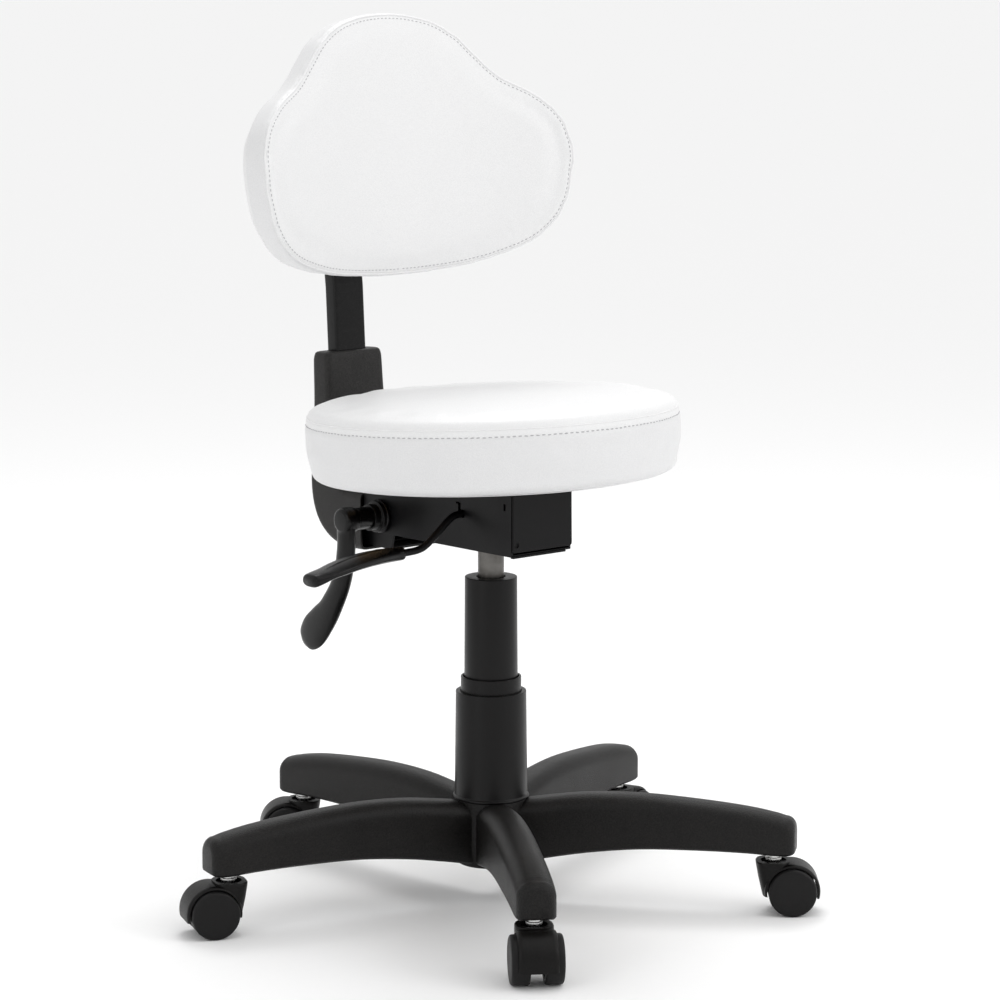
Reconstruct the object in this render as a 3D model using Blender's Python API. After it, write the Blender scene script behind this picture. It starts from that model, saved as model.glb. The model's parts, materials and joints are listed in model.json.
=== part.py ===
"""Pedicure stool: a round seat with a tilting back on a gas column, a five-arm base and twin-wheel casters.

Metres, +Z up. The stool's front faces -Y and its two levers stand out on the -X side. The origin is
on the floor under the middle of the whole stool, so the column's axis stands a little beside it.
Unless a comment says otherwise, places are measured from the floor and from the column's axis.
"""

import math

import bmesh
import bpy
from mathutils import Matrix, Vector

GAP = 0.0003  # room left between two pieces that touch on the real stool
COLUMN_X, COLUMN_Y = 0.0074, -0.0187
FLOOR_Z = 0.0050  # heights below are measured from 5 mm under the floor the casters stand on

# Star base
ARM_COUNT = 5
BASE_TURN = math.radians(-49.4)
STEM_CIRCLE_R = 0.2995
ARM_STATIONS = (  # distance from the column, half width, underside, top
    (0.020, 0.0205, 0.0500, 0.1120),
    (0.060, 0.0205, 0.0560, 0.1190),
    (0.105, 0.0205, 0.0640, 0.1245),
    (0.160, 0.0205, 0.0700, 0.1255),
    (0.220, 0.0205, 0.0715, 0.1215),
    (0.270, 0.0205, 0.0712, 0.1160),
    (0.303, 0.0203, 0.0690, 0.1100),
    (0.319, 0.0180, 0.0700, 0.0990),
)
ARM_WALL = 0.004
ARM_POCKETS = ((0.052, 0.126), (0.130, 0.204), (0.208, 0.280))
HUB_R = 0.0385
HUB_BOTTOM, HUB_TOP = 0.0460, 0.1167
COLUMN_TUBE_R = 0.0250

# Casters
WHEEL_R = 0.0252
AXLE_Z = FLOOR_Z + WHEEL_R
WHEEL_SEGMENTS = 24
WHEEL_INNER_FACE, WHEEL_OUTER_FACE = 0.0075, 0.0265
CASTER_TRAIL = 0.0190
CASTER_TURNS = (-39.5, 20.5, 145.5, 158.5, 236.5)  # degrees, which way each caster trails
HOOD_R, HOOD_WALL, HOOD_HALF_WIDTH = 0.0294, 0.0030, 0.0190
HOOD_TOP = 0.0600
AXLE_R, STEM_R = 0.0040, 0.0055
STEM_TOP = 0.0900
ARM_END_UNDERSIDE = 0.0690

# Gas column
PRESSURE_TUBE_R, PRESSURE_TUBE_WALL = 0.0137, 0.0020
PRESSURE_TUBE_BOTTOM, PRESSURE_TUBE_TOP = 0.1500, 0.4110
ROD_R = 0.0050
PIN_R = 0.0030

# Mechanism under the seat
BOX_HALF_WIDTH, PLATE = 0.0400, 0.0025
BOX_FRONT, BOX_REAR = -0.0810, 0.1650
BOX_BOTTOM_FRONT, BOX_BOTTOM_REAR = 0.3880, 0.3842
PAN_REAR = 0.1120
LEVER_PIVOT = Vector((-0.0400, 0.0, 0.4230))
LIFT_ROD_R = 0.0040
TILT_PIVOT = Vector((0.0, 0.1350, 0.4030))
BOLT_R = 0.0050

# Seat, in its own tilted frame whose origin is the middle of the seat's underside
SEAT_HEIGHT, SEAT_TILT = 0.4618, math.radians(3.2)
SEAT_Y = -0.0060
SEAT_R, BOARD_R, BOARD_THICK = 0.1975, 0.1830, 0.0120
SEAT_THICK, SEAT_FLAT_R = 0.0815, 0.1000
SEAT_BOLT_REACH = 0.0700

# Back: the bar's centre line, then the pad in its own leaning, curved frame
BAR_HALF_WIDTH, BAR_HALF_DEPTH, BAR_WALL = 0.0200, 0.0090, 0.0020
BAR_LEAN, BAR_TOP_LEAN = math.radians(3.2), math.radians(6.5)
BAR_START, BAR_LEVEL, BAR_BEND_R = 0.1500, 0.3790, 0.0340
BAR_BEND_Y, BAR_KINK, BAR_TOP = 0.2029, 0.6350, 0.8520
BACK_ORIGIN = Vector((0.0, 0.1662, 0.7948))
BACK_LEAN = math.radians(6.5)
BACK_CURVE_R = 0.4250
BACK_PAD_THICK, BACK_BOARD_THICK, BACK_PANEL_THICK = 0.0340, 0.0100, 0.0050
BACK_GAP = 0.0008  # the back's curved layers have facets, so they need more room between them
BACK_REAR = BACK_PAD_THICK + BACK_BOARD_THICK + BACK_PANEL_THICK + 2 * BACK_GAP
BACK_OUTLINE = (  # half outline of the back: out from the middle, up from the pad's centre
    (0.0000, -0.1380),
    (0.0600, -0.1360),
    (0.1130, -0.1290),
    (0.1640, -0.1115),
    (0.1950, -0.0780),
    (0.2060, -0.0260),
    (0.1985, 0.0140),
    (0.1720, 0.0430),
    (0.1360, 0.0640),
    (0.1120, 0.0870),
    (0.0860, 0.1125),
    (0.0500, 0.1300),
    (0.0000, 0.1365),
)


# ---------------------------------------------------------------- materials and objects


def make_material(name, colour, roughness, metallic=0.0):
    material = bpy.data.materials.new(name)
    material.use_nodes = True
    shader = material.node_tree.nodes["Principled BSDF"]
    shader.inputs["Base Color"].default_value = (*colour, 1.0)
    shader.inputs["Roughness"].default_value = roughness
    shader.inputs["Metallic"].default_value = metallic
    material.diffuse_color = (*colour, 1.0)
    return material


def make_materials():
    return {
        "nylon": make_material("black_nylon", (0.020, 0.019, 0.018), 0.55),
        "plastic": make_material("black_plastic", (0.014, 0.014, 0.015), 0.38),
        "tyre": make_material("wheel_nylon", (0.012, 0.012, 0.013), 0.45),
        "coated": make_material("black_coated_steel", (0.016, 0.016, 0.018), 0.42),
        "steel": make_material("grey_steel", (0.36, 0.34, 0.32), 0.32, 1.0),
        "bright": make_material("plated_steel", (0.62, 0.62, 0.63), 0.22, 1.0),
        "bush": make_material("white_bush_plastic", (0.70, 0.69, 0.66), 0.45),
        "vinyl": make_material("white_vinyl", (0.88, 0.88, 0.88), 0.42),
        "wood": make_material("plywood", (0.48, 0.33, 0.19), 0.70),
    }


def make_empty(name, parent=None, location=(0.0, 0.0, 0.0), rotation=(0.0, 0.0, 0.0)):
    empty = bpy.data.objects.new(name, None)
    empty.empty_display_size = 0.03
    empty.parent = parent
    empty.location = location
    empty.rotation_euler = rotation
    bpy.context.scene.collection.objects.link(empty)
    return empty


def make_object(name, mesh, material, parent, location=(0.0, 0.0, 0.0), rotation=(0.0, 0.0, 0.0)):
    mesh.materials.clear()
    mesh.materials.append(material)
    mesh.shade_smooth()
    mesh.set_sharp_from_angle(angle=math.radians(35.0))
    piece = bpy.data.objects.new(name, mesh)
    piece.parent = parent
    piece.location = location
    piece.rotation_euler = rotation
    bpy.context.scene.collection.objects.link(piece)
    return piece


# ---------------------------------------------------------------- shapes


def mesh_from(bm, name="shape"):
    bmesh.ops.recalc_face_normals(bm, faces=bm.faces)
    mesh = bpy.data.meshes.new(name)
    bm.to_mesh(mesh)
    bm.free()
    return mesh


def turned(profile, segments=24, half_step=False):
    """Turns a closed profile of (radius, height) points about Z."""
    bm = bmesh.new()
    shift = 0.5 if half_step else 0.0
    turns = [2.0 * math.pi * (k + shift) / segments for k in range(segments)]
    rings = []
    for radius, height in profile:
        if radius < 1e-7:
            rings.append([bm.verts.new((0.0, 0.0, height))] * segments)
        else:
            rings.append([bm.verts.new((radius * math.cos(t), radius * math.sin(t), height)) for t in turns])
    for first, second in zip(rings, rings[1:] + rings[:1]):
        for k in range(segments):
            corners = [first[k], first[(k + 1) % segments], second[(k + 1) % segments], second[k]]
            unique = list(dict.fromkeys(corners))
            if len(unique) > 2:
                bm.faces.new(unique)
    return mesh_from(bm)


def lofted(sections, closed_ends=True):
    """Joins equally long rings of points one after the other; closed_ends caps the first and last."""
    bm = bmesh.new()
    rings = [[bm.verts.new(point) for point in ring] for ring in sections]
    bridge_rings(bm, rings)
    if closed_ends:
        bm.faces.new(rings[0])
        bm.faces.new(list(reversed(rings[-1])))
    return mesh_from(bm)


def bridge_rings(bm, rings):
    for first, second in zip(rings, rings[1:]):
        for k, corner in enumerate(first):
            after = (k + 1) % len(first)
            bm.faces.new((corner, second[k], second[after], first[after]))


def lofted_tube(outer, inner):
    """A hollow loft, open at both ends: the outer and inner rings meet in flat rims."""
    bm = bmesh.new()
    outside = [[bm.verts.new(point) for point in ring] for ring in outer]
    inside = [[bm.verts.new(point) for point in ring] for ring in inner]
    bridge_rings(bm, outside)
    bridge_rings(bm, inside)
    bridge_rings(bm, [outside[0], inside[0]])
    bridge_rings(bm, [outside[-1], inside[-1]])
    return mesh_from(bm)


def box(low, high):
    (x0, y0, z0), (x1, y1, z1) = low, high
    square = ((x0, y0), (x1, y0), (x1, y1), (x0, y1))
    return lofted([[(x, y, z) for x, y in square] for z in (z0, z1)])


def prism_x(side_profile, x0, x1):
    """A side profile of (y, z) points, drawn out from x0 to x1."""
    return lofted([[(x, y, z) for y, z in side_profile] for x in (x0, x1)])


def rod_mesh(radius, length, segments=20, half_step=False):
    return turned(((0.0, 0.0), (radius, 0.0), (radius, length), (0.0, length)), segments, half_step)


def arc_points(centre, radius, start_degrees, end_degrees, steps):
    angles = [math.radians(start_degrees + (end_degrees - start_degrees) * k / steps) for k in range(steps + 1)]
    return [(centre[0] + radius * math.cos(a), centre[1] + radius * math.sin(a)) for a in angles]


def smooth_curve(points, steps):
    """A Catmull-Rom curve through the points, with steps pieces between each two."""
    padded = [2 * Vector(points[0]) - Vector(points[1]), *map(Vector, points), 2 * Vector(points[-1]) - Vector(points[-2])]
    curve = []
    for a, b, c, d in zip(padded, padded[1:], padded[2:], padded[3:]):
        for k in range(steps):
            t = k / steps
            curve.append(0.5 * (2 * b + (c - a) * t + (2 * a - 5 * b + 4 * c - d) * t**2 + (3 * b - a - 3 * c + d) * t**3))
    return [*curve, padded[-2]]


def moved(mesh, matrix):
    mesh.transform(matrix)
    return mesh


def combined(base, others, operation):
    """The base mesh with each other mesh joined to it or cut from it."""
    body = bpy.data.objects.new("body", base)
    bpy.context.scene.collection.objects.link(body)
    helpers = []
    for other in others:
        helper = bpy.data.objects.new("helper", other)
        helper.hide_render = True
        bpy.context.scene.collection.objects.link(helper)
        helpers.append(helper)
        boolean = body.modifiers.new("shape", "BOOLEAN")
        boolean.operation = operation
        boolean.solver = "EXACT"
        boolean.object = helper
    depsgraph = bpy.context.evaluated_depsgraph_get()
    result = bpy.data.meshes.new_from_object(body.evaluated_get(depsgraph))
    for used in [body, *helpers]:
        bpy.data.objects.remove(used)
    return result


def joined(base, *others):
    return combined(base, others, "UNION")


def cut(base, *others):
    return combined(base, others, "DIFFERENCE")


def along_x(mesh):
    """Lays a mesh made along +Z down along -X."""
    return moved(mesh, Matrix.Rotation(math.radians(-90.0), 4, "Y"))


def cross_hole(x, y, z, radius, length=0.02):
    """A cutter along X, centred on a point."""
    return moved(along_x(rod_mesh(radius, length, 16)), Matrix.Translation((x + length / 2, y, z)))


# ---------------------------------------------------------------- star base


def arm_section(station, inset=0.0, floor=None):
    """One arched section of an arm that points along +X."""
    distance, half_width, underside, top = station
    half, roof = half_width - inset, top - inset * 1.2
    low = underside if floor is None else floor
    radius = 0.8 * half
    right = arc_points((half - radius, roof - radius), radius, 0.0, 90.0, 3)
    left = [(-y, z) for y, z in reversed(right)]
    return [(distance, y, z) for y, z in [(half, low), *right, *left, (-half, low)]]


def pocket_section(station):
    distance, half_width, _, top = station
    half, roof = half_width - ARM_WALL, top - ARM_WALL - 0.001
    low, slant = 0.030, 0.007
    outline = [(half, low), (half, roof - slant), (half - slant, roof), (slant - half, roof), (-half, roof - slant), (-half, low)]
    return [(distance, y, z) for y, z in outline]


def station_at(distance):
    for first, second in zip(ARM_STATIONS, ARM_STATIONS[1:]):
        if distance <= second[0]:
            part = (distance - first[0]) / (second[0] - first[0])
            return tuple(a + (b - a) * part for a, b in zip(first, second))
    return ARM_STATIONS[-1]


def make_star_base(parts, material):
    hub = turned(
        (
            (COLUMN_TUBE_R - 0.003, HUB_BOTTOM),
            (HUB_R - 0.004, HUB_BOTTOM),
            (HUB_R, 0.060),
            (HUB_R, HUB_TOP - 0.002),
            (HUB_R - 0.002, HUB_TOP),
            (COLUMN_TUBE_R - 0.003, HUB_TOP),
        ),
        30,
    )
    arms, cutters = [], []
    for k in range(ARM_COUNT):
        turn = Matrix.Rotation(2.0 * math.pi * k / ARM_COUNT, 4, "Z")
        arms.append(moved(lofted([arm_section(station) for station in ARM_STATIONS]), turn))
        for start, end in ARM_POCKETS:
            ends = [pocket_section(station_at(r)) for r in (start, end)]
            cutters.append(moved(lofted(ends), turn))
        socket = moved(
            rod_mesh(STEM_R + GAP, STEM_TOP + GAP - 0.05, 16), Matrix.Translation((STEM_CIRCLE_R, 0.0, 0.05))
        )
        cutters.append(moved(socket, turn))
    bore = moved(rod_mesh(COLUMN_TUBE_R + GAP, 0.12, 30), Matrix.Translation((0.0, 0.0, 0.03)))
    base = cut(joined(hub, *arms), bore, *cutters)
    make_object("star_base", base, material, parts, rotation=(0.0, 0.0, BASE_TURN))


# ---------------------------------------------------------------- casters


def hood_mesh():
    """The caster's body. Its swivel axis is Z and its wheels trail along +X."""
    axle = (CASTER_TRAIL, AXLE_Z)
    start, end = -14.0, 178.0
    outer = arc_points(axle, HOOD_R, start, end, 10)
    inner = arc_points(axle, HOOD_R - HOOD_WALL, start, end, 10)
    half = HOOD_HALF_WIDTH
    fender = lofted([[(x, y, z) for x, z in [*outer, *reversed(inner)]] for y in (-half, half)])
    nose = [(-0.0130, 0.0245), (-0.0180, HOOD_TOP), (0.0120, HOOD_TOP), (0.0120, 0.0245)]
    block = lofted([[(x + 0.004 * (abs(y) / half) ** 4, y, z) for x, z in nose] for y in (-half, -0.012, 0.012, half)])
    wheel_room = moved(
        rod_mesh(HOOD_R - HOOD_WALL, 0.06, 20), Matrix.Translation((0.0, 0.03, 0.0)) @ Matrix.Rotation(math.pi / 2, 4, "X")
    )
    block = cut(block, moved(wheel_room, Matrix.Translation((axle[0], 0.0, axle[1]))))
    web_half = WHEEL_INNER_FACE - 0.0008
    web_profile = [(-0.0100, 0.036), *arc_points(axle, 0.0125, 200.0, 340.0, 6), (0.040, 0.0480), (0.0, 0.0555)]
    web = lofted([[(x, y, z) for x, z in web_profile] for y in (-web_half, web_half)])
    body = joined(fender, block, web)
    axle_hole = moved(rod_mesh(AXLE_R + GAP, 0.06, 16), Matrix.Rotation(math.pi / 2, 4, "X"))
    axle_hole = moved(axle_hole, Matrix.Translation((axle[0], 0.03, axle[1])))
    stem_hole = moved(rod_mesh(STEM_R + GAP, 0.05, 16), Matrix.Translation((0.0, 0.0, 0.0330)))
    return cut(body, axle_hole, stem_hole)


def wheel_mesh():
    """One wheel about Z: a flat inner face, a round-shouldered tread and a domed outer face."""
    flat_r = WHEEL_R / math.cos(math.pi / WHEEL_SEGMENTS)  # a flat of the tread meets the floor
    profile = (
        (AXLE_R + GAP, WHEEL_INNER_FACE),
        (flat_r, WHEEL_INNER_FACE),
        (flat_r, WHEEL_OUTER_FACE - 0.0060),
        (flat_r - 0.0030, WHEEL_OUTER_FACE),
        (0.0, WHEEL_OUTER_FACE),
        (0.0, WHEEL_OUTER_FACE - 0.0050),
        (AXLE_R + GAP, WHEEL_OUTER_FACE - 0.0050),
    )
    return turned(profile, WHEEL_SEGMENTS, half_step=True)


def make_casters(parts, materials):
    hood, wheel = hood_mesh(), wheel_mesh()
    axle_half = WHEEL_OUTER_FACE - 0.0056
    axle = moved(rod_mesh(AXLE_R, 2 * axle_half, 16), Matrix.Translation((0.0, 0.0, -axle_half)))
    stem = turned(
        (
            (0.0, 0.0335),
            (STEM_R, 0.0335),
            (STEM_R, HOOD_TOP + GAP),
            (0.0085, HOOD_TOP + GAP),
            (0.0085, ARM_END_UNDERSIDE - 0.0010),
            (STEM_R, ARM_END_UNDERSIDE - GAP),
            (STEM_R, STEM_TOP - 0.001),
            (STEM_R - 0.001, STEM_TOP),
            (0.0, STEM_TOP),
        ),
        16,
    )
    lay_left, lay_right = math.radians(-90.0), math.radians(90.0)
    for k, trail in enumerate(CASTER_TURNS):
        angle = BASE_TURN + 2.0 * math.pi * k / ARM_COUNT
        place = (STEM_CIRCLE_R * math.cos(angle), STEM_CIRCLE_R * math.sin(angle), 0.0)
        swivel = make_empty(f"caster_{k + 1}_swivel_axis", parts, place, (0.0, 0.0, math.radians(trail)))
        make_object(f"caster_stem_{k + 1}", stem.copy(), materials["bright"], swivel)
        make_object(f"caster_hood_{k + 1}", hood.copy(), materials["plastic"], swivel)
        spin = make_empty(f"caster_{k + 1}_axle_axis", swivel, (CASTER_TRAIL, 0.0, AXLE_Z))
        make_object(f"caster_axle_{k + 1}", axle.copy(), materials["bright"], spin, rotation=(lay_left, 0.0, 0.0))
        for side, lay in (("left", lay_left), ("right", lay_right)):
            make_object(f"caster_wheel_{k + 1}_{side}", wheel.copy(), materials["tyre"], spin, rotation=(lay, 0.0, 0.0))


# ---------------------------------------------------------------- column


def make_column(parts, materials):
    profiles = {
        "column_tube": (
            (COLUMN_TUBE_R, 0.0500),
            (COLUMN_TUBE_R, 0.3440),
            (0.0226, 0.3440),
            (0.0226, 0.0530),
            (0.0062, 0.0530),
            (0.0062, 0.0500),
        ),
        "guide_bush": (
            (PRESSURE_TUBE_R + GAP, 0.2750),
            (0.0223, 0.2750),
            (0.0223, 0.3440 + GAP),
            (0.0248, 0.3440 + GAP),
            (0.0248, 0.3475),
            (PRESSURE_TUBE_R + GAP, 0.3475),
        ),
        "lower_sleeve": (
            (0.0400, HUB_TOP + GAP),
            (0.0400, 0.1193),
            (0.0383, 0.1193),
            (0.0370, 0.2310),
            (0.0322, 0.2310),
            (0.0322, 0.2285),
            (0.0364, HUB_TOP + GAP),
        ),
        "middle_sleeve": (
            (0.0302, 0.1350),
            (0.0318, 0.1350),
            (0.0318, 0.2467),
            (0.0294, 0.2467),
            (0.0294, 0.2445),
            (0.0302, 0.2445),
        ),
        "upper_sleeve": (
            (0.0270, 0.1500),
            (0.0288, 0.1500),
            (0.0273, 0.3524),
            (0.0152, 0.3524),
            (0.0152, 0.3500),
            (0.0254, 0.3500),
        ),
        "thrust_washer": ((0.0054, 0.0533), (0.0160, 0.0533), (0.0160, 0.0563), (0.0054, 0.0563)),
        "piston_rod": (
            (0.0, 0.0440),
            (ROD_R, 0.0440),
            (ROD_R, 0.0566),
            (0.0090, 0.0566),
            (0.0090, 0.0596),
            (ROD_R, 0.0596),
            (ROD_R, 0.2850),
            (0.0112, 0.2850),
            (0.0112, 0.3000),
            (0.0, 0.3000),
        ),
        "pressure_tube": (
            (PIN_R + GAP, PRESSURE_TUBE_TOP),
            (0.0132, PRESSURE_TUBE_TOP),
            (PRESSURE_TUBE_R, BOX_BOTTOM_REAR),
            (PRESSURE_TUBE_R, PRESSURE_TUBE_BOTTOM),
            (PRESSURE_TUBE_R - PRESSURE_TUBE_WALL, PRESSURE_TUBE_BOTTOM),
            (PRESSURE_TUBE_R - PRESSURE_TUBE_WALL, 0.4030),
            (PIN_R + GAP, 0.4030),
        ),
        "rod_seal": ((ROD_R + GAP, 0.1510), (0.0114, 0.1510), (0.0114, 0.1610), (ROD_R + GAP, 0.1610)),
        "valve_pin": ((0.0, 0.3950), (PIN_R, 0.3950), (PIN_R, 0.4186), (0.0, 0.4186)),
        "taper_socket": ((0.0141, 0.3860), (0.0210, 0.3860), (0.0210, 0.4090), (0.0137, 0.4090)),
    }
    looks = {
        "column_tube": "coated",
        "guide_bush": "bush",
        "thrust_washer": "bright",
        "piston_rod": "bright",
        "pressure_tube": "steel",
        "rod_seal": "bush",
        "valve_pin": "bright",
        "taper_socket": "steel",
    }
    for name, profile in profiles.items():
        material = materials[looks.get(name, "plastic")]
        make_object(name, turned(profile, 24 if profile[0][0] > 0.02 else 16), material, parts)


# ---------------------------------------------------------------- mechanism and levers


def seat_plane(y, drop=0.0):
    """The height of the seat's underside at a distance behind the column, less a drop."""
    return SEAT_HEIGHT - math.tan(SEAT_TILT) * y - drop


def make_mechanism(parts, materials):
    drop = 0.0036 + 2 * GAP
    sides = [
        (BOX_FRONT, BOX_BOTTOM_FRONT),
        (0.1500, BOX_BOTTOM_REAR),
        (BOX_REAR, BOX_BOTTOM_REAR + 0.011),
        (BOX_REAR, seat_plane(BOX_REAR, drop)),
        (BOX_FRONT, seat_plane(BOX_FRONT, drop)),
    ]
    room = [
        (-0.1000, BOX_BOTTOM_FRONT + PLATE),
        (PAN_REAR, BOX_BOTTOM_REAR + PLATE + 0.0006),
        (PAN_REAR, 0.3700),
        (0.2000, 0.3700),
        (0.2000, 0.4900),
        (-0.1000, 0.4900),
    ]
    inner = BOX_HALF_WIDTH - PLATE
    pan = cut(prism_x(sides, -BOX_HALF_WIDTH, BOX_HALF_WIDTH), prism_x(room, -inner, inner))
    tube_hole = moved(rod_mesh(0.0214, 0.02, 24), Matrix.Translation((0.0, 0.0, 0.378)))
    holes = [tube_hole, cross_hole(-0.039, LEVER_PIVOT.y, LEVER_PIVOT.z, LIFT_ROD_R + 0.0016)]
    for side in (-0.039, 0.039):
        holes.append(cross_hole(side, -0.0700, 0.4380, 0.0035))
        holes.append(cross_hole(side, TILT_PIVOT.y, TILT_PIVOT.z, BOLT_R + GAP))
    make_object("mechanism_housing", cut(pan, *holes), materials["coated"], parts)
    front = box((-inner + GAP, BOX_FRONT, 0.3915), (inner - GAP, BOX_FRONT + PLATE, 0.4560))
    make_object("front_plate", front, materials["coated"], parts)


def lift_rod_path():
    bends = [(0.0100, 0.4230), (-0.0200, 0.4230), (-0.0450, 0.4228), (-0.0610, 0.4170), (-0.0780, 0.4020)]
    bends += [(-0.0930, 0.3925), (-0.1100, 0.3905), (-0.1420, 0.3905)]
    return [(point.x, point.y) for point in smooth_curve(bends, 2)]


def swept_rod(path, radius, sides):
    """A round rod along a path of (x, z) points."""
    points = [Vector(point) for point in path]
    rings = []
    for k, point in enumerate(points):
        ahead, behind = points[min(k + 1, len(points) - 1)], points[max(k - 1, 0)]
        across = (ahead - behind).normalized().orthogonal()
        ring = []
        for s in range(sides):
            turn = 2.0 * math.pi * s / sides
            offset = across * (radius * math.cos(turn))
            ring.append((point.x + offset.x, radius * math.sin(turn), point.y + offset.y))
        rings.append(ring)
    return lofted(rings)


def oval(centre, half_width, half_thick, sides=12):
    """An oval section across X."""
    turns = [2.0 * math.pi * s / sides for s in range(sides)]
    return [(centre[0], half_width * math.cos(t), centre[1] + half_thick * math.sin(t)) for t in turns]


def make_lift_lever(parts, materials):
    """The bent rod turns about Y in the side plate's hole. Its flat paddle is pressed on the end."""
    hinge = make_empty("lift_lever_axis", parts, LEVER_PIVOT)
    to_hinge = Matrix.Translation(-LEVER_PIVOT)
    rod = moved(swept_rod(lift_rod_path(), LIFT_ROD_R, 8), to_hinge)
    make_object("lift_lever_rod", rod, materials["coated"], hinge)
    stations = (  # x, z, half width, half thickness
        (-0.1185, 0.3905, 0.0062, 0.0062),
        (-0.1260, 0.3905, 0.0085, 0.0068),
        (-0.1450, 0.3903, 0.0130, 0.0070),
        (-0.1700, 0.3885, 0.0165, 0.0066),
        (-0.1950, 0.3850, 0.0180, 0.0060),
        (-0.2150, 0.3805, 0.0165, 0.0054),
        (-0.2300, 0.3762, 0.0115, 0.0046),
        (-0.2360, 0.3742, 0.0055, 0.0032),
    )
    paddle = lofted([oval((x, z), half_width, half_thick) for x, z, half_width, half_thick in stations])
    hole_path = [(-0.1050, 0.3905), (-0.1423, 0.3905)]
    paddle = cut(paddle, swept_rod(hole_path, LIFT_ROD_R + GAP, 8))
    make_object("lift_lever_paddle", moved(paddle, to_hinge), materials["plastic"], hinge)


def make_lock_lever(parts, materials):
    """Everything here lies about the tilt pivot, with X along the pivot."""
    hinge = make_empty("lock_lever_axis", parts, TILT_PIVOT)
    collar = turned(
        (
            (BOLT_R + GAP, 0.0),
            (0.0175, 0.0),
            (0.0175, 0.0090),
            (0.0165, 0.0100),
            (0.0150, 0.0100),
            (0.0150, 0.0175),
            (BOLT_R + GAP, 0.0175),
        )
    )
    make_object("lock_collar", moved(along_x(collar), Matrix.Translation((-0.0404, 0.0, 0.0))), materials["plastic"], hinge)
    hub = turned(((0.0, 0.0), (0.0125, 0.0), (0.0125, 0.0200), (0.0145, 0.0215), (0.0145, 0.0345), (0.0125, 0.0365), (0.0, 0.0365)))
    hub = moved(along_x(hub), Matrix.Translation((-0.0585, 0.0, 0.0)))
    centre = smooth_curve([(0.0, -0.002), (0.000, -0.033), (0.008, -0.066), (0.029, -0.099), (0.056, -0.126), (0.072, -0.140)], 2)
    half_widths = (0.0120, 0.0122, 0.0122, 0.0122, 0.0128, 0.0150, 0.0178, 0.0195, 0.0198, 0.0160, 0.0075)
    half_thicks = (0.0065, 0.0072, 0.0078, 0.0078, 0.0075, 0.0072, 0.0070, 0.0068, 0.0064, 0.0055, 0.0030)
    sections = []
    for k, (half_width, half_thick) in enumerate(zip(half_widths, half_thicks)):
        ahead, behind = centre[min(k + 1, len(centre) - 1)], centre[max(k - 1, 0)]
        across = (ahead - behind).normalized().orthogonal()
        ring = []
        for s in range(10):
            turn = 2.0 * math.pi * s / 10
            spot = centre[k] + across * (half_width * math.cos(turn))
            ring.append((-0.0870 + half_thick * math.sin(turn), spot.x, spot.y))
        sections.append(ring)
    bore = moved(along_x(rod_mesh(BOLT_R + GAP, 0.0222, 16)), Matrix.Translation((-0.0550, 0.0, 0.0)))
    make_object("lock_lever", cut(joined(hub, lofted(sections)), bore), materials["plastic"], hinge)
    bolt = turned(((0.0, 0.0), (0.0090, 0.0), (0.0090, 0.0060), (BOLT_R, 0.0060), (BOLT_R, 0.1230), (0.0, 0.1230)), 18)
    make_object("tilt_bolt", moved(along_x(bolt), Matrix.Translation((0.0464, 0.0, 0.0))), materials["bright"], hinge)


def make_tilt_spring(parts, materials):
    """A torsion spring wound round the tilt bolt."""
    turns, radius, wire, length = 5, 0.0100, 0.0014, 0.0360
    steps = turns * 8
    rings = []
    for k in range(steps + 1):
        angle = 2.0 * math.pi * k / 8
        x = -length / 2 + length * k / steps
        out = Vector((0.0, math.cos(angle), math.sin(angle)))
        ring = []
        for s in range(4):
            turn = 2.0 * math.pi * s / 4
            ring.append(Vector((x + wire * math.sin(turn), 0.0, 0.0)) + out * (radius + wire * math.cos(turn)))
        rings.append(ring)
    make_object("tilt_spring", lofted(rings), materials["steel"], parts, TILT_PIVOT)


# ---------------------------------------------------------------- seat


def make_seat(parts, materials):
    seat = make_empty("seat_plane", parts, (0.0, SEAT_Y, seat_plane(SEAT_Y)), (-SEAT_TILT, 0.0, 0.0))
    corners = [(sx * SEAT_BOLT_REACH, sy * SEAT_BOLT_REACH) for sx in (-1, 1) for sy in (-1, 1)]
    reach = SEAT_BOLT_REACH + 0.013
    plate = box((-reach, -reach, -0.0030 - GAP), (reach, reach, -GAP))
    board = turned(((0.0, 0.0), (BOARD_R - 0.002, 0.0), (BOARD_R, 0.002), (BOARD_R, BOARD_THICK), (0.0, BOARD_THICK)), 32)
    holes = [moved(rod_mesh(0.0034, 0.04, 10), Matrix.Translation((x, y, -0.02))) for x, y in corners]
    make_object("seat_plate", cut(plate, *[hole.copy() for hole in holes]), materials["coated"], seat)
    make_object("seat_board", cut(board, *holes), materials["wood"], seat)
    head = -0.0030 - 2 * GAP
    bolt = turned(((0.0, head - 0.0040), (0.0055, head - 0.0040), (0.0055, head), (0.0030, head), (0.0030, 0.0110), (0.0, 0.0110)), 6)
    for k, (x, y) in enumerate(corners):
        make_object(f"seat_bolt_{k + 1}", bolt.copy(), materials["bright"], seat, (x, y, 0.0))
    under = BOARD_THICK + GAP
    cushion = (
        (BOARD_R + 0.0005, 0.0006),
        (0.1880, 0.0006),
        (0.1960, 0.0120),
        (SEAT_R, 0.0350),
        (0.1940, 0.0610),
        (0.1850, 0.0705),
        (0.1600, 0.0780),
        (SEAT_FLAT_R, SEAT_THICK),
        (0.0, SEAT_THICK),
        (0.0, under),
        (BOARD_R + 0.0005, under),
    )
    make_object("seat_cushion", turned(cushion, 32), materials["vinyl"], seat)


# ---------------------------------------------------------------- back


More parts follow.
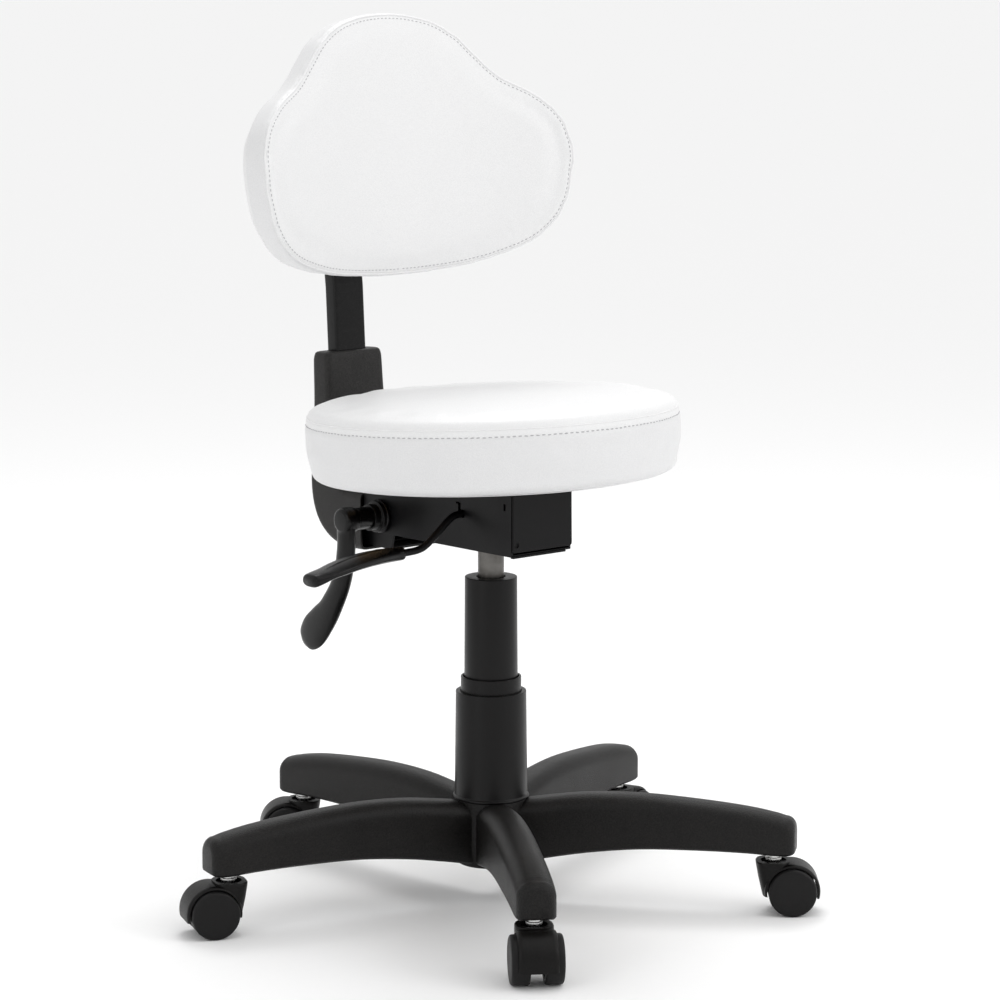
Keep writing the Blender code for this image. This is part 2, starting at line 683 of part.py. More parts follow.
def bar_path():
    """The bar's centre line, (y, z): level out of the mechanism, round a bend, then up with a lean."""
    centre = (BAR_BEND_Y, BAR_LEVEL + BAR_BEND_R)
    bend = arc_points(centre, BAR_BEND_R, -90.0, -math.degrees(BAR_LEAN), 6)
    kink_y = bend[-1][0] + (BAR_KINK - bend[-1][1]) * math.tan(BAR_LEAN)
    top_y = kink_y + (BAR_TOP - BAR_KINK) * math.tan(BAR_TOP_LEAN)
    return [(BAR_START, BAR_LEVEL), *bend, (kink_y, BAR_KINK), (top_y, BAR_TOP)]


def bar_y(z):
    """The bar's centre line at a height above its kink."""
    kink_y, kink_z = bar_path()[-2]
    return kink_y + (z - kink_z) * math.tan(BAR_TOP_LEAN)


def slanted_section(centre, direction, half_width, half_depth, corner):
    """A rectangle with cut corners, across a direction in the side view."""
    across = Vector((direction[1], -direction[0])).normalized()
    w, d, c = half_width, half_depth, corner
    outline = [(w, -d + c), (w, d - c), (w - c, d), (-w + c, d), (-w, d - c), (-w, -d + c), (-w + c, -d), (w - c, -d)]
    return [(x, centre[0] + across.x * t, centre[1] + across.y * t) for x, t in outline]


def make_bar(parts, materials):
    path = bar_path()
    outer, inner = [], []
    for k, point in enumerate(path):
        ahead, behind = Vector(path[min(k + 1, len(path) - 1)]), Vector(path[max(k - 1, 0)])
        direction = ahead - behind
        outer.append(slanted_section(point, direction, BAR_HALF_WIDTH, BAR_HALF_DEPTH, 0.003))
        thin = (BAR_HALF_WIDTH - BAR_WALL, BAR_HALF_DEPTH - BAR_WALL)
        inner.append(slanted_section(point, direction, *thin, 0.0015))
    make_object("back_bar", moved(lofted_tube(outer, inner), Matrix.Translation(-TILT_PIVOT)), materials["coated"], parts)


def make_bar_cover(parts, materials):
    stations = (  # centre y, centre z, direction degrees above level, half depth, half width
        (0.1660, 0.3925, 0.0, 0.0310, 0.0440),
        (0.1960, 0.3920, 2.0, 0.0310, 0.0440),
        (0.2130, 0.3970, 30.0, 0.0310, 0.0440),
        (0.2245, 0.4090, 58.0, 0.0290, 0.0440),
        (0.2335, 0.4310, 80.0, 0.0240, 0.0435),
        (0.2385, 0.4660, 86.5, 0.0180, 0.0415),
        (0.2415, 0.5110, 86.8, 0.0155, 0.0392),
        (0.2443, 0.5610, 86.8, 0.0145, 0.0382),
        (0.2446, 0.5665, 86.8, 0.0132, 0.0366),
    )
    wall = 0.0022
    outer, inner = [], []
    for y, z, slope, half_depth, half_width in stations:
        direction = (math.cos(math.radians(slope)), math.sin(math.radians(slope)))
        outer.append(slanted_section((y, z), direction, half_width, half_depth, 0.006))
        inner.append(slanted_section((y, z), direction, half_width - wall, half_depth - wall, 0.0045))
    cover = moved(lofted_tube(outer, inner), Matrix.Translation(-TILT_PIVOT))
    make_object("bar_cover", cover, materials["plastic"], parts)


def make_tilt_bracket(parts, materials):
    """A steel channel that carries the bar's foot and turns on the tilt bolt."""
    sides = [(0.120, 0.394), (0.126, 0.3668), (0.205, 0.3668), (0.205, 0.398), (0.150, 0.416), (0.126, 0.416), (0.120, 0.409)]
    half, thick = 0.0335, PLATE
    channel = prism_x(sides, -half, half)
    room = box((-half + thick, 0.10, 0.3668 + thick), (half - thick, 0.23, 0.44))
    holes = [cross_hole(side, TILT_PIVOT.y, TILT_PIVOT.z, BOLT_R + GAP) for side in (-0.032, 0.032)]
    bracket = moved(cut(channel, room, *holes), Matrix.Translation(-TILT_PIVOT))
    make_object("tilt_bracket", bracket, materials["coated"], parts)


def back_point(out, up, depth):
    """A point of the back from its flat pattern: out and up across it, depth rearward through it."""
    reach = BACK_CURVE_R + depth
    return Vector((out, math.sqrt(reach**2 - out**2) - BACK_CURVE_R, up))


def back_outline(inset=0.0):
    half = [Vector((x, y)) for x, y in BACK_OUTLINE]
    mirrored = [Vector((-p.x, p.y)) for p in half]
    loop = [half[1], *half, mirrored[-2]]  # one more point past each end keeps the curve smooth there
    loop[0] = mirrored[1]
    right = smooth_curve(loop, 2)[2:-2]
    ring = [*right, *[Vector((-p.x, p.y)) for p in reversed(right[1:-1])]]
    if not inset:
        return ring
    shrunk = []
    for k, point in enumerate(ring):
        along = (ring[(k + 1) % len(ring)] - ring[k - 1]).normalized()
        shrunk.append(point + Vector((-along.y, along.x)) * inset)
    return shrunk


def back_slab(layers):
    """A curved slab from (inset, depth) layers, front to rear. Strips across it keep its faces curved."""
    bm = bmesh.new()
    rings = []
    for inset, depth in layers:
        rings.append([bm.verts.new(back_point(p.x, p.y, depth)) for p in back_outline(inset)])
    bridge_rings(bm, rings)
    for ring, (inset, depth) in ((rings[0], layers[0]), (rings[-1], layers[-1])):
        fill_curved_face(bm, ring, back_outline(inset), depth)
    bmesh.ops.triangulate(bm, faces=bm.faces)
    return mesh_from(bm)


def fill_curved_face(bm, ring, outline, depth, columns=8):
    """Fills a ring with rows of faces from side to side that follow the back's curve."""
    half = len(ring) // 2
    rows = []
    for k in range(half + 1):
        right, left = outline[k], outline[-k]
        middle = [left.lerp(right, j / columns) for j in range(1, columns)]
        inside = [] if k in (0, half) else [bm.verts.new(back_point(p.x, p.y, depth)) for p in middle]
        rows.append([ring[-k], *inside, ring[k]] if inside else [ring[k]] * (columns + 1))
    for low, high in zip(rows, rows[1:]):
        for j in range(columns):
            corners = list(dict.fromkeys((low[j], low[j + 1], high[j + 1], high[j])))
            bm.faces.new(corners)


def make_back(parts, materials):
    pad = make_empty("back_plane", parts, BACK_ORIGIN - TILT_PIVOT, (-BACK_LEAN, 0.0, 0.0))
    cushion = back_slab(((0.022, -0.0020), (0.010, -0.0005), (0.002, 0.0035), (0.0, 0.0100), (0.002, BACK_PAD_THICK)))
    make_object("back_cushion", cushion, materials["vinyl"], pad)
    board_front = BACK_PAD_THICK + BACK_GAP
    board = back_slab(((0.014, board_front), (0.014, board_front + BACK_BOARD_THICK)))
    make_object("back_board", board, materials["wood"], pad)
    panel_front = board_front + BACK_BOARD_THICK + BACK_GAP
    panel = back_slab(((0.013, panel_front), (0.016, panel_front + 0.003), (0.022, panel_front + BACK_PANEL_THICK)))
    make_object("back_rear_panel", panel, materials["vinyl"], pad)


def make_back_bracket(parts, materials):
    """A folded steel bracket: a plate on the back's board, and two cheeks that hold the bar's top."""
    rear = BACK_REAR + GAP
    low, high = -0.048, 0.060
    lean = Matrix.Translation(BACK_ORIGIN) @ Matrix.Rotation(-BACK_LEAN, 4, "X")
    plate = moved(box((-0.045, rear, low), (0.045, rear + PLATE, high)), lean)
    cheeks = []
    inner = BAR_HALF_WIDTH + GAP
    for side in (-1, 1):
        x0, x1 = sorted((side * inner, side * (inner + PLATE)))
        corners = [lean @ Vector((0.0, rear + 0.001, up)) for up in (low + 0.008, high - 0.008)]
        bar_rear = [(bar_y(c.z) + BAR_HALF_DEPTH, c.z) for c in corners]
        profile = [(corners[0].y, corners[0].z), bar_rear[0], bar_rear[1], (corners[1].y, corners[1].z)]
        cheeks.append(prism_x(profile, x0, x1))
    bracket = moved(joined(plate, *cheeks), Matrix.Translation(-TILT_PIVOT))
    make_object("back_bracket", bracket, materials["coated"], parts)


def make_bracket_cover(parts, materials):
    """A moulded cap that hides the bracket and the bar's top from behind."""
    lean = Matrix.Translation(BACK_ORIGIN) @ Matrix.Rotation(-BACK_LEAN, 4, "X")
    front = BACK_REAR + PLATE + 2 * GAP
    layers = ((0.0, front), (0.004, 0.085), (0.010, 0.112), (0.016, 0.118))
    wall = 0.0022

    def ring(inset, depth):
        w, low, high, c = 0.040 - inset, -0.052 + inset * 0.2, 0.088 - inset, 0.010
        outline = [(w, low), (w, high - c), (w - c, high), (-w + c, high), (-w, high - c), (-w, low)]
        return [lean @ Vector((x, depth, up)) for x, up in outline]

    outside = lofted([ring(inset, depth) for inset, depth in layers])
    room = lofted([ring(inset + wall, depth - (wall if k else 0.004)) for k, (inset, depth) in enumerate(layers)])
    bar_slot = moved(box((-0.0206, 0.0910, -0.075), (0.0206, 0.1108, 0.0)), lean)
    room = joined(room, bar_slot)
    cover = moved(cut(outside, room), Matrix.Translation(-TILT_PIVOT))
    make_object("bracket_cover", cover, materials["plastic"], parts)


# ---------------------------------------------------------------- the whole stool


def clear_scene():
    for existing in list(bpy.data.objects):
        bpy.data.objects.remove(existing)


def main():
    clear_scene()
    materials = make_materials()
    column = make_empty("column_axis", location=(COLUMN_X, COLUMN_Y, -FLOOR_Z))
    make_star_base(column, materials["nylon"])
    make_casters(column, materials)
    make_column(column, materials)
    make_mechanism(column, materials)
    make_lift_lever(column, materials)
    make_lock_lever(column, materials)
    make_tilt_spring(column, materials)
    make_seat(column, materials)
    tilting = make_empty("back_tilt_axis", column, TILT_PIVOT)
    make_tilt_bracket(tilting, materials)
    make_bar(tilting, materials)
    make_bar_cover(tilting, materials)
    make_back_bracket(tilting, materials)
    make_bracket_cover(tilting, materials)
    make_back(tilting, materials)


main()
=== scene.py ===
"""The looks of a white pedicure stool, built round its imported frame.

Everything is in metres in the frame's own space: +Z up, the stool's front faces -Y and its levers stand
out on the -X side. Most pieces are measured from the column's axis, which the frame gives.
"""

import json
from math import atan2, copysign, cos, degrees, hypot, pi, radians, sin, sqrt, tan

import bmesh
import bpy
from mathutils import Matrix, Vector, noise
from mathutils.bvhtree import BVHTree
from mathutils.kdtree import KDTree


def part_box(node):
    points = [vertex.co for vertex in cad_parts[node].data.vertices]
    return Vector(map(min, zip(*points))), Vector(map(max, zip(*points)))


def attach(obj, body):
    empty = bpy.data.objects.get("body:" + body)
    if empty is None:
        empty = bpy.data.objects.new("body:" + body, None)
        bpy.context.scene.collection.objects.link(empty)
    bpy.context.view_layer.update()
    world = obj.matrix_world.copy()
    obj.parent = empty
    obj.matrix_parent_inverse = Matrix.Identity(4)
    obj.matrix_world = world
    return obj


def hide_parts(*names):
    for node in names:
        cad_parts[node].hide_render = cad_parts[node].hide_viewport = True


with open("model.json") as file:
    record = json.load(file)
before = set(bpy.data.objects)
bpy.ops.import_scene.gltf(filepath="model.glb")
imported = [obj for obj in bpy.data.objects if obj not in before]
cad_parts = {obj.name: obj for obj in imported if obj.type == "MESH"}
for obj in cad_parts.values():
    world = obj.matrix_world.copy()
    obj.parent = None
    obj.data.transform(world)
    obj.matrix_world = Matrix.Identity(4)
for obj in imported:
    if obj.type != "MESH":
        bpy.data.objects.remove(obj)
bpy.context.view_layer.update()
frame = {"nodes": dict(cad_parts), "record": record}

CLOTH_FRAMES = 20
CLOTH_PRESSURE = 4.0
X_AXIS, Y_AXIS, UP = Vector((1.0, 0.0, 0.0)), Vector((0.0, 1.0, 0.0)), Vector((0.0, 0.0, 1.0))


def middle(node):
    low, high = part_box(node)
    return (low + high) / 2


FLOOR_Z = 0.005  # heights below are measured from 5 mm under the floor
COLUMN = Vector((middle("column_tube").x, middle("column_tube").y, -FLOOR_Z))

# Star base
ARM_COUNT = 5
BASE_TURN = radians(-49.4)
STEM_CIRCLE_R = 0.2995
ARM_STATIONS = (  # distance from the column, half width, underside, top
    (0.0, 0.0205, 0.047, 0.105),
    (0.03, 0.0205, 0.05, 0.114),
    (0.06, 0.0205, 0.056, 0.1192),
    (0.105, 0.0205, 0.064, 0.1246),
    (0.16, 0.0205, 0.07, 0.1256),
    (0.22, 0.0206, 0.0714, 0.1216),
    (0.27, 0.0206, 0.0708, 0.1162),
    (0.3, 0.0205, 0.0692, 0.1108),
    (0.312, 0.0202, 0.069, 0.1076),
)
ARM_POCKETS = ((0.052, 0.126), (0.13, 0.204), (0.208, 0.28))  # where each hollow starts and ends
POCKET_ROOF = 0.1165
ARC_STEPS = 7
HUB_R = 0.0385
HUB_TOP = 0.1166

# Casters
WHEEL_R = 0.0252
AXLE_Z = FLOOR_Z + WHEEL_R
CASTER_TRAIL = 0.019
CASTER_TURNS = (-39.5, 20.5, 145.5, 158.5, 236.5)
HOOD_NECK = (  # height, reach to the front, half width
    (0.024, 0.0112, 0.0172),
    (0.029, 0.0125, 0.0182),
    (0.043, 0.0158, 0.0192),
    (0.056, 0.0182, 0.0194),
    (0.0596, 0.0186, 0.0193),
    (0.0608, 0.0178, 0.0184),
)

# Mechanism, levers and seat
TILT_PIVOT = Vector((0.0, 0.135, 0.403))
SEAT_TILT = radians(3.2)
SEAT_HEIGHT = 0.4618  # of the seat's underside, at the column
SEAT_BASE = Vector((0.0, -0.006, SEAT_HEIGHT - 0.002 + tan(SEAT_TILT) * 0.006))
BOX_GAP = 0.0042
BOARD_R = 0.158
STAPLES = 40

# Back
BACK_ORIGIN = Vector((0.002, 0.1662, 0.7948))
BACK_LEAN = radians(6.5)
BACK_CURVE_R = 0.425
BACK_DEPTH = 0.034


# ---- materials


def new_material(name):
    material = bpy.data.materials.new(name)
    material.use_nodes = True
    tree = material.node_tree
    return material, tree, tree.nodes["Principled BSDF"]


def dial(node, **inputs):
    for name, value in inputs.items():
        node.inputs[name.replace("_", " ")].default_value = value
    return node


def add(tree, kind, **inputs):
    return dial(tree.nodes.new(kind), **inputs)


def coordinates(tree, scale=(1.0, 1.0, 1.0)):
    place = tree.nodes.new("ShaderNodeTexCoord")
    mapping = add(tree, "ShaderNodeMapping", Scale=scale)
    tree.links.new(place.outputs["Object"], mapping.inputs["Vector"])
    return mapping.outputs["Vector"]


def noise_of(tree, vector, scale, detail=3.0, roughness=0.5):
    node = add(tree, "ShaderNodeTexNoise", Scale=scale, Detail=detail, Roughness=roughness)
    tree.links.new(vector, node.inputs["Vector"])
    return node.outputs["Fac"]


def spread(tree, value, low, high, start=0.3, end=0.7):
    """Stretches a value's start..end range to low..high."""
    node = add(tree, "ShaderNodeMapRange", From_Min=start, From_Max=end, To_Min=low, To_Max=high)
    tree.links.new(value, node.inputs["Value"])
    return node.outputs["Result"]


def blend_colours(tree, factor, first, second):
    node = tree.nodes.new("ShaderNodeMix")
    node.data_type = "RGBA"
    node.inputs["A"].default_value = (*first, 1.0)
    node.inputs["B"].default_value = (*second, 1.0)
    tree.links.new(factor, node.inputs["Factor"])
    return node.outputs["Result"]


def math_of(tree, operation, first, second):
    node = tree.nodes.new("ShaderNodeMath")
    node.operation = operation
    for socket, value in zip(node.inputs, (first, second)):
        if isinstance(value, (int, float)):
            socket.default_value = value
        else:
            tree.links.new(value, socket)
    return node.outputs[0]


def mixed(tree, first, share, second):
    """The first value's share, and the rest from the second."""
    kept = math_of(tree, "MULTIPLY", first, share)
    return math_of(tree, "ADD", kept, math_of(tree, "MULTIPLY", second, 1.0 - share))


def colour_from(tree, shader, factor, first, second):
    tree.links.new(blend_colours(tree, factor, first, second), shader.inputs["Base Color"])


def roughness_from(tree, shader, value, low, high):
    tree.links.new(spread(tree, value, low, high), shader.inputs["Roughness"])


def bump_into(tree, shader, height, strength, distance):
    node = add(tree, "ShaderNodeBump", Strength=strength, Distance=distance)
    tree.links.new(height, node.inputs["Height"])
    tree.links.new(node.outputs["Normal"], shader.inputs["Normal"])


def vinyl(name, light, dark, grain):
    """Artificial leather: shallow rounded cells with fine creases between them, and soft wide unevenness."""
    material, tree, shader = new_material(name)
    place = coordinates(tree)
    cells = add(tree, "ShaderNodeTexVoronoi", Scale=grain)
    cells.feature = "DISTANCE_TO_EDGE"
    warp = add(tree, "ShaderNodeTexNoise", Scale=grain * 0.6, Detail=2.0)
    tree.links.new(place, warp.inputs["Vector"])
    shifted = tree.nodes.new("ShaderNodeVectorMath")
    shifted.operation = "MULTIPLY_ADD"
    shifted.inputs[1].default_value = (0.0011, 0.0011, 0.0011)
    tree.links.new(warp.outputs["Color"], shifted.inputs[0])
    tree.links.new(place, shifted.inputs[2])
    tree.links.new(shifted.outputs["Vector"], cells.inputs["Vector"])
    pebbles = spread(tree, cells.outputs["Distance"], 0.0, 1.0, 0.0, 0.28)
    fine = noise_of(tree, place, grain * 3.1, 3.0)
    broad = noise_of(tree, place, 22.0, 2.0)
    height = mixed(tree, pebbles, 0.7, fine)
    bump_into(tree, shader, height, 0.22, 0.0004)
    tone = math_of(tree, "MULTIPLY", pebbles, spread(tree, broad, 0.8, 1.0))
    colour_from(tree, shader, tone, dark, light)
    roughness_from(tree, shader, fine, 0.36, 0.52)
    dial(shader, Specular_IOR_Level=0.42, Sheen_Weight=0.06)
    return material


def moulded(name, base, light, rough, grain, strength, gloss=0.21):
    """Moulded black plastic: a fine spark-eroded grain, with a faint wear tone over wide patches."""
    material, tree, shader = new_material(name)
    place = coordinates(tree)
    stipple = noise_of(tree, place, grain, 3.0, 0.62)
    patches = noise_of(tree, place, 14.0, 4.0, 0.6)
    fleck = mixed(tree, stipple, 0.75, patches)
    colour_from(tree, shader, spread(tree, fleck, 0.0, 1.0, 0.38, 0.62), base, light)
    roughness_from(tree, shader, mixed(tree, stipple, 0.5, patches), rough - 0.07, rough + 0.09)
    bump_into(tree, shader, stipple, strength, 0.0006)
    dial(shader, Specular_IOR_Level=gloss)
    return material


def powder_coat():
    """Satin black powder coat, with a slight orange peel."""
    material, tree, shader = new_material("black_powder_coat")
    place = coordinates(tree)
    peel = noise_of(tree, place, 420.0, 2.0)
    haze = noise_of(tree, place, 30.0, 4.0)
    dark, light = (0.0018, 0.0017, 0.002), (0.0034, 0.0032, 0.0038)
    colour_from(tree, shader, spread(tree, haze, 0.0, 1.0), dark, light)
    roughness_from(tree, shader, haze, 0.34, 0.46)
    bump_into(tree, shader, peel, 0.12, 0.0005)
    dial(shader, Specular_IOR_Level=0.17)
    return material


def metal(name, dark, light, rough, streak_scale):
    """Bare or plated steel, with turning marks round it."""
    material, tree, shader = new_material(name)
    streaks = noise_of(tree, coordinates(tree, streak_scale), 1.0, 4.0, 0.7)
    smudges = noise_of(tree, coordinates(tree), 60.0, 3.0)
    colour_from(tree, shader, spread(tree, smudges, 0.0, 1.0), dark, light)
    dial(shader, Metallic=1.0)
    roughness_from(tree, shader, streaks, rough - 0.08, rough + 0.1)
    bump_into(tree, shader, streaks, 0.08, 0.0002)
    return material


def plywood():
    """Birch plywood: bands of plies by height, with fine fibres."""
    material, tree, shader = new_material("plywood")
    place = coordinates(tree)
    fibres = noise_of(tree, coordinates(tree, (900.0, 60.0, 900.0)), 1.0, 5.0, 0.65)
    split = tree.nodes.new("ShaderNodeSeparateXYZ")
    tree.links.new(place, split.inputs["Vector"])
    plies = math_of(tree, "FRACT", math_of(tree, "MULTIPLY", split.outputs["Z"], 330.0), 0.0)
    tone = mixed(tree, plies, 0.45, fibres)
    colour_from(tree, shader, tone, (0.3, 0.19, 0.1), (0.6, 0.44, 0.27))
    roughness_from(tree, shader, fibres, 0.58, 0.78)
    bump_into(tree, shader, fibres, 0.25, 0.0004)
    return material


def thread():
    """Twisted white sewing thread, painted grey: the grey is painted shade along the stitch rows."""
    material, tree, shader = new_material("shaded_white_thread")
    twist = noise_of(tree, coordinates(tree), 2600.0, 2.0)
    # Painted shade: grey tones stand in for the shade on the white thread in its stitch line.
    colour_from(tree, shader, twist, (0.34, 0.34, 0.35), (0.52, 0.52, 0.53))
    dial(shader, Roughness=0.65)
    bump_into(tree, shader, twist, 0.4, 0.0002)
    return material


LOOKS = {
    "vinyl": vinyl("white_vinyl", (0.83, 0.83, 0.83), (0.74, 0.74, 0.744), 820.0),
    # The band look: a greyer copy of the white vinyl with a finer grain, for the side bands, the fold under
    # the seat and the rear piping; its darker grey is painted shade on those sides.
    "band": vinyl("shaded_white_vinyl_band", (0.79, 0.79, 0.792), (0.68, 0.68, 0.686), 1150.0),
    "thread": thread(),
    "nylon": moulded(
        "black_nylon", (0.0006, 0.0005, 0.0005), (0.0105, 0.0094, 0.0088), 0.4, 760.0, 0.95, 0.23
    ),
    "plastic": moulded(
        "black_plastic", (0.0026, 0.0023, 0.0024), (0.0044, 0.004, 0.0041), 0.33, 1900.0, 0.16
    ),
    "lever": moulded(
        "lever_plastic", (0.0012, 0.0011, 0.0012), (0.0024, 0.0022, 0.0023), 0.25, 2100.0, 0.1, 0.24
    ),
    "boot": moulded(
        "cover_plastic", (0.003, 0.0027, 0.0025), (0.023, 0.0213, 0.0203), 0.46, 850.0, 0.7, 0.27
    ),
    "paint": moulded(
        "black_paint", (0.0012, 0.0011, 0.0011), (0.0026, 0.0024, 0.0024), 0.19, 160.0, 0.3, 0.24
    ),
    "caster": moulded(
        "caster_plastic", (0.0008, 0.0007, 0.0007), (0.0066, 0.0058, 0.0054), 0.38, 1100.0, 0.3, 0.17
    ),
    "tread": moulded("wheel_plastic", (0.004, 0.0037, 0.0038), (0.0064, 0.006, 0.0062), 0.46, 1500.0, 0.2),
    "coated": powder_coat(),
    "tube": metal("gas_tube_steel", (0.085, 0.08, 0.074), (0.15, 0.144, 0.136), 0.34, (4.0, 4.0, 900.0)),
    "bright": metal("zinc_plate", (0.5, 0.5, 0.5), (0.72, 0.72, 0.7), 0.28, (300.0, 300.0, 300.0)),
    "bush": moulded("bush_plastic", (0.62, 0.61, 0.57), (0.74, 0.73, 0.7), 0.45, 900.0, 0.1),
    "wood": plywood(),
}


SLOT_LOOKS = {"tyre": "tread", "steel": "tube"}  # the other slots are called what their looks are


# ---- shapes


def added(name, data):
    """A new object in the scene."""
    piece = bpy.data.objects.new(name, data)
    bpy.context.scene.collection.objects.link(piece)
    return piece


def evaluated(piece, *helpers):
    """The mesh that a piece's modifiers make. The piece and its helpers are used up."""
    depsgraph = bpy.context.evaluated_depsgraph_get()
    result = bpy.data.meshes.new_from_object(piece.evaluated_get(depsgraph))
    for used in (piece, *helpers):
        bpy.data.objects.remove(used)
    return result


def mesh_from(bm):
    bmesh.ops.recalc_face_normals(bm, faces=bm.faces)
    mesh = bpy.data.meshes.new("shape")
    bm.to_mesh(mesh)
    bm.free()
    return mesh


def rounded(points, radius, steps):
    """A closed 2D outline with its corners rounded. A point may carry its own radius as a third number."""
    outline = []
    for k, (x, y, *own) in enumerate(points):
        corner = Vector((x, y))
        size = own[0] if own else radius
        if size <= 0.0:
            outline.append(tuple(corner))
            continue
        before = Vector(points[k - 1][:2]) - corner
        after = Vector(points[(k + 1) % len(points)][:2]) - corner
        reach = min(size, before.length * 0.48, after.length * 0.48)
        start, end = corner + before.normalized() * reach, corner + after.normalized() * reach
        for j in range(steps + 1):
            t = j / steps
            outline.append(tuple(start * (1 - t) ** 2 + corner * (2 * t * (1 - t)) + end * t**2))
    return outline


def arc(centre, radius, start, end, steps):
    angles = [radians(start + (end - start) * k / steps) for k in range(steps + 1)]
    return [(centre[0] + radius * cos(a), centre[1] + radius * sin(a)) for a in angles]


def round_angles(count):
    """Even angles, once round."""
    return [2.0 * pi * k / count for k in range(count)]


def circle(radius, height, count=240):
    return [(radius * cos(a), radius * sin(a), height) for a in round_angles(count)]


def mirrored(half):
    """The other half of an outline, from its far end back."""
    return [(-x, y) for x, y in reversed(half)]


def curve(points, steps):
    """A smooth curve through points of any size, with steps pieces between each two."""
    knots = [Vector(p) for p in points]
    padded = [2 * knots[0] - knots[1], *knots, 2 * knots[-1] - knots[-2]]
    spots = []
    for a, b, c, d in zip(padded, padded[1:], padded[2:], padded[3:]):
        slope, bend, twist = c - a, 2 * a - 5 * b + 4 * c - d, 3 * b - a - 3 * c + d
        for k in range(steps):
            t = k / steps
            spots.append(0.5 * (2 * b + slope * t + bend * t**2 + twist * t**3))
    return [*spots, knots[-1]]


def rings_in(bm, sections):
    return [[bm.verts.new(point) for point in ring] for ring in sections]


def bridge(bm, rings):
    for first, second in zip(rings, rings[1:]):
        for k, corner in enumerate(first):
            after = (k + 1) % len(first)
            bm.faces.new((corner, second[k], second[after], first[after]))


def lofted(sections):
    bm = bmesh.new()
    rings = rings_in(bm, sections)
    bridge(bm, rings)
    bm.faces.new(rings[0])
    bm.faces.new(list(reversed(rings[-1])))
    return mesh_from(bm)


def hollow_loft(outer, inner):
    """A tube between two rows of sections."""
    bm = bmesh.new()
    outside, inside = rings_in(bm, outer), rings_in(bm, inner)
    for rings in (outside, inside, [outside[0], inside[0]], [outside[-1], inside[-1]]):
        bridge(bm, rings)
    return mesh_from(bm)


def turned(profile, segments=64):
    """Turns a closed outline of (radius, height) points about Z."""
    bm = bmesh.new()
    rings = []
    for radius, height in profile:
        if radius < 1e-6:
            rings.append([bm.verts.new((0.0, 0.0, height))] * segments)
        else:
            rings.append([bm.verts.new(spot) for spot in circle(radius, height, segments)])
    for first, second in zip(rings, rings[1:] + rings[:1]):
        for k in range(segments):
            after = (k + 1) % segments
            unique = list(dict.fromkeys((first[k], first[after], second[after], second[k])))
            if len(unique) > 2:
                bm.faces.new(unique)
    return mesh_from(bm)


def lathe(outline, corner, steps=3, segments=64):
    """An outline with its corners rounded, turned about Z."""
    return turned(rounded(outline, corner, steps), segments)


def prism(outline, ends, axis, corner=0.0, steps=3):
    """A 2D outline, its corners rounded, pushed out between two places along an axis."""
    before = "XYZ".index(axis)
    spots = rounded(outline, corner, steps) if corner else outline
    return lofted([[(*spot[:before], place, *spot[before:]) for spot in spots] for place in ends])


def heading(points, k, closed=False):
    """Which way a route runs at its point k."""
    if closed:
        return (points[(k + 1) % len(points)] - points[k - 1]).normalized()
    return (points[min(k + 1, len(points) - 1)] - points[max(k - 1, 0)]).normalized()


def rings_along(points, radii, sides, closed=False):
    """A round section at each point of a route, with as little twist as the route allows."""
    across = (points[1] - points[-1 if closed else 0]).orthogonal().normalized()
    turns = round_angles(sides)
    rings = []
    for k, (point, radius) in enumerate(zip(points, radii)):
        along = heading(points, k, closed)
        across = (across - along * across.dot(along)).normalized()
        other = along.cross(across)
        rings.append([point + (across * cos(t) + other * sin(t)) * radius for t in turns])
    return rings


def swept(path, radius, sides):
    """A round rod along 3D points. radius is a number, or one number for each point."""
    points = [Vector(p) for p in path]
    radii = radius if isinstance(radius, list) else [radius] * len(points)
    return lofted(rings_along(points, radii, sides))


def closed_cord(points, radius, sides):
    """A closed round cord. Its last ring meets the first where their points lie nearest."""
    bm = bmesh.new()
    rings = rings_in(bm, rings_along(points, [radius] * len(points), sides, closed=True))
    bridge(bm, rings)
    last, first = rings[-1], rings[0]
    offset = min(range(sides), key=lambda k: (first[k].co - last[0].co).length)
    for k in range(sides):
        start, after = (k + offset) % sides, (k + 1) % sides
        bm.faces.new((last[k], first[start], first[(start + 1) % sides], last[after]))
    return mesh_from(bm)


def rod(radius, length, segments=32):
    return turned([(0.0, 0.0), (radius, 0.0), (radius, length), (0.0, length)], segments)


def moved(mesh, *matrices):
    for matrix in matrices:
        mesh.transform(matrix)
    return mesh


def shift(x, y, z):
    return Matrix.Translation((x, y, z))


def turn(angle, axis):
    return Matrix.Rotation(radians(angle), 4, axis)


ALONG_X = turn(-90.0, "Y")  # lays what was made along +Z down along -X


def combined(base, others, operation):
    body = added("body", base)
    helpers = [added("helper", other) for other in others]
    for helper in helpers:
        boolean = body.modifiers.new("shape", "BOOLEAN")
        boolean.operation = operation
        boolean.solver = "EXACT"
        boolean.object = helper
    return evaluated(body, *helpers)


def joined(base, *others):
    return combined(base, others, "UNION")


def cut(base, *others):
    return combined(base, others, "DIFFERENCE")


def merged(*meshes):
    """Several meshes as one, left as they are."""
    bm = bmesh.new()
    for mesh in meshes:
        bm.from_mesh(mesh)
    mesh = bpy.data.meshes.new("merged")
    bm.to_mesh(mesh)
    bm.free()
    return mesh


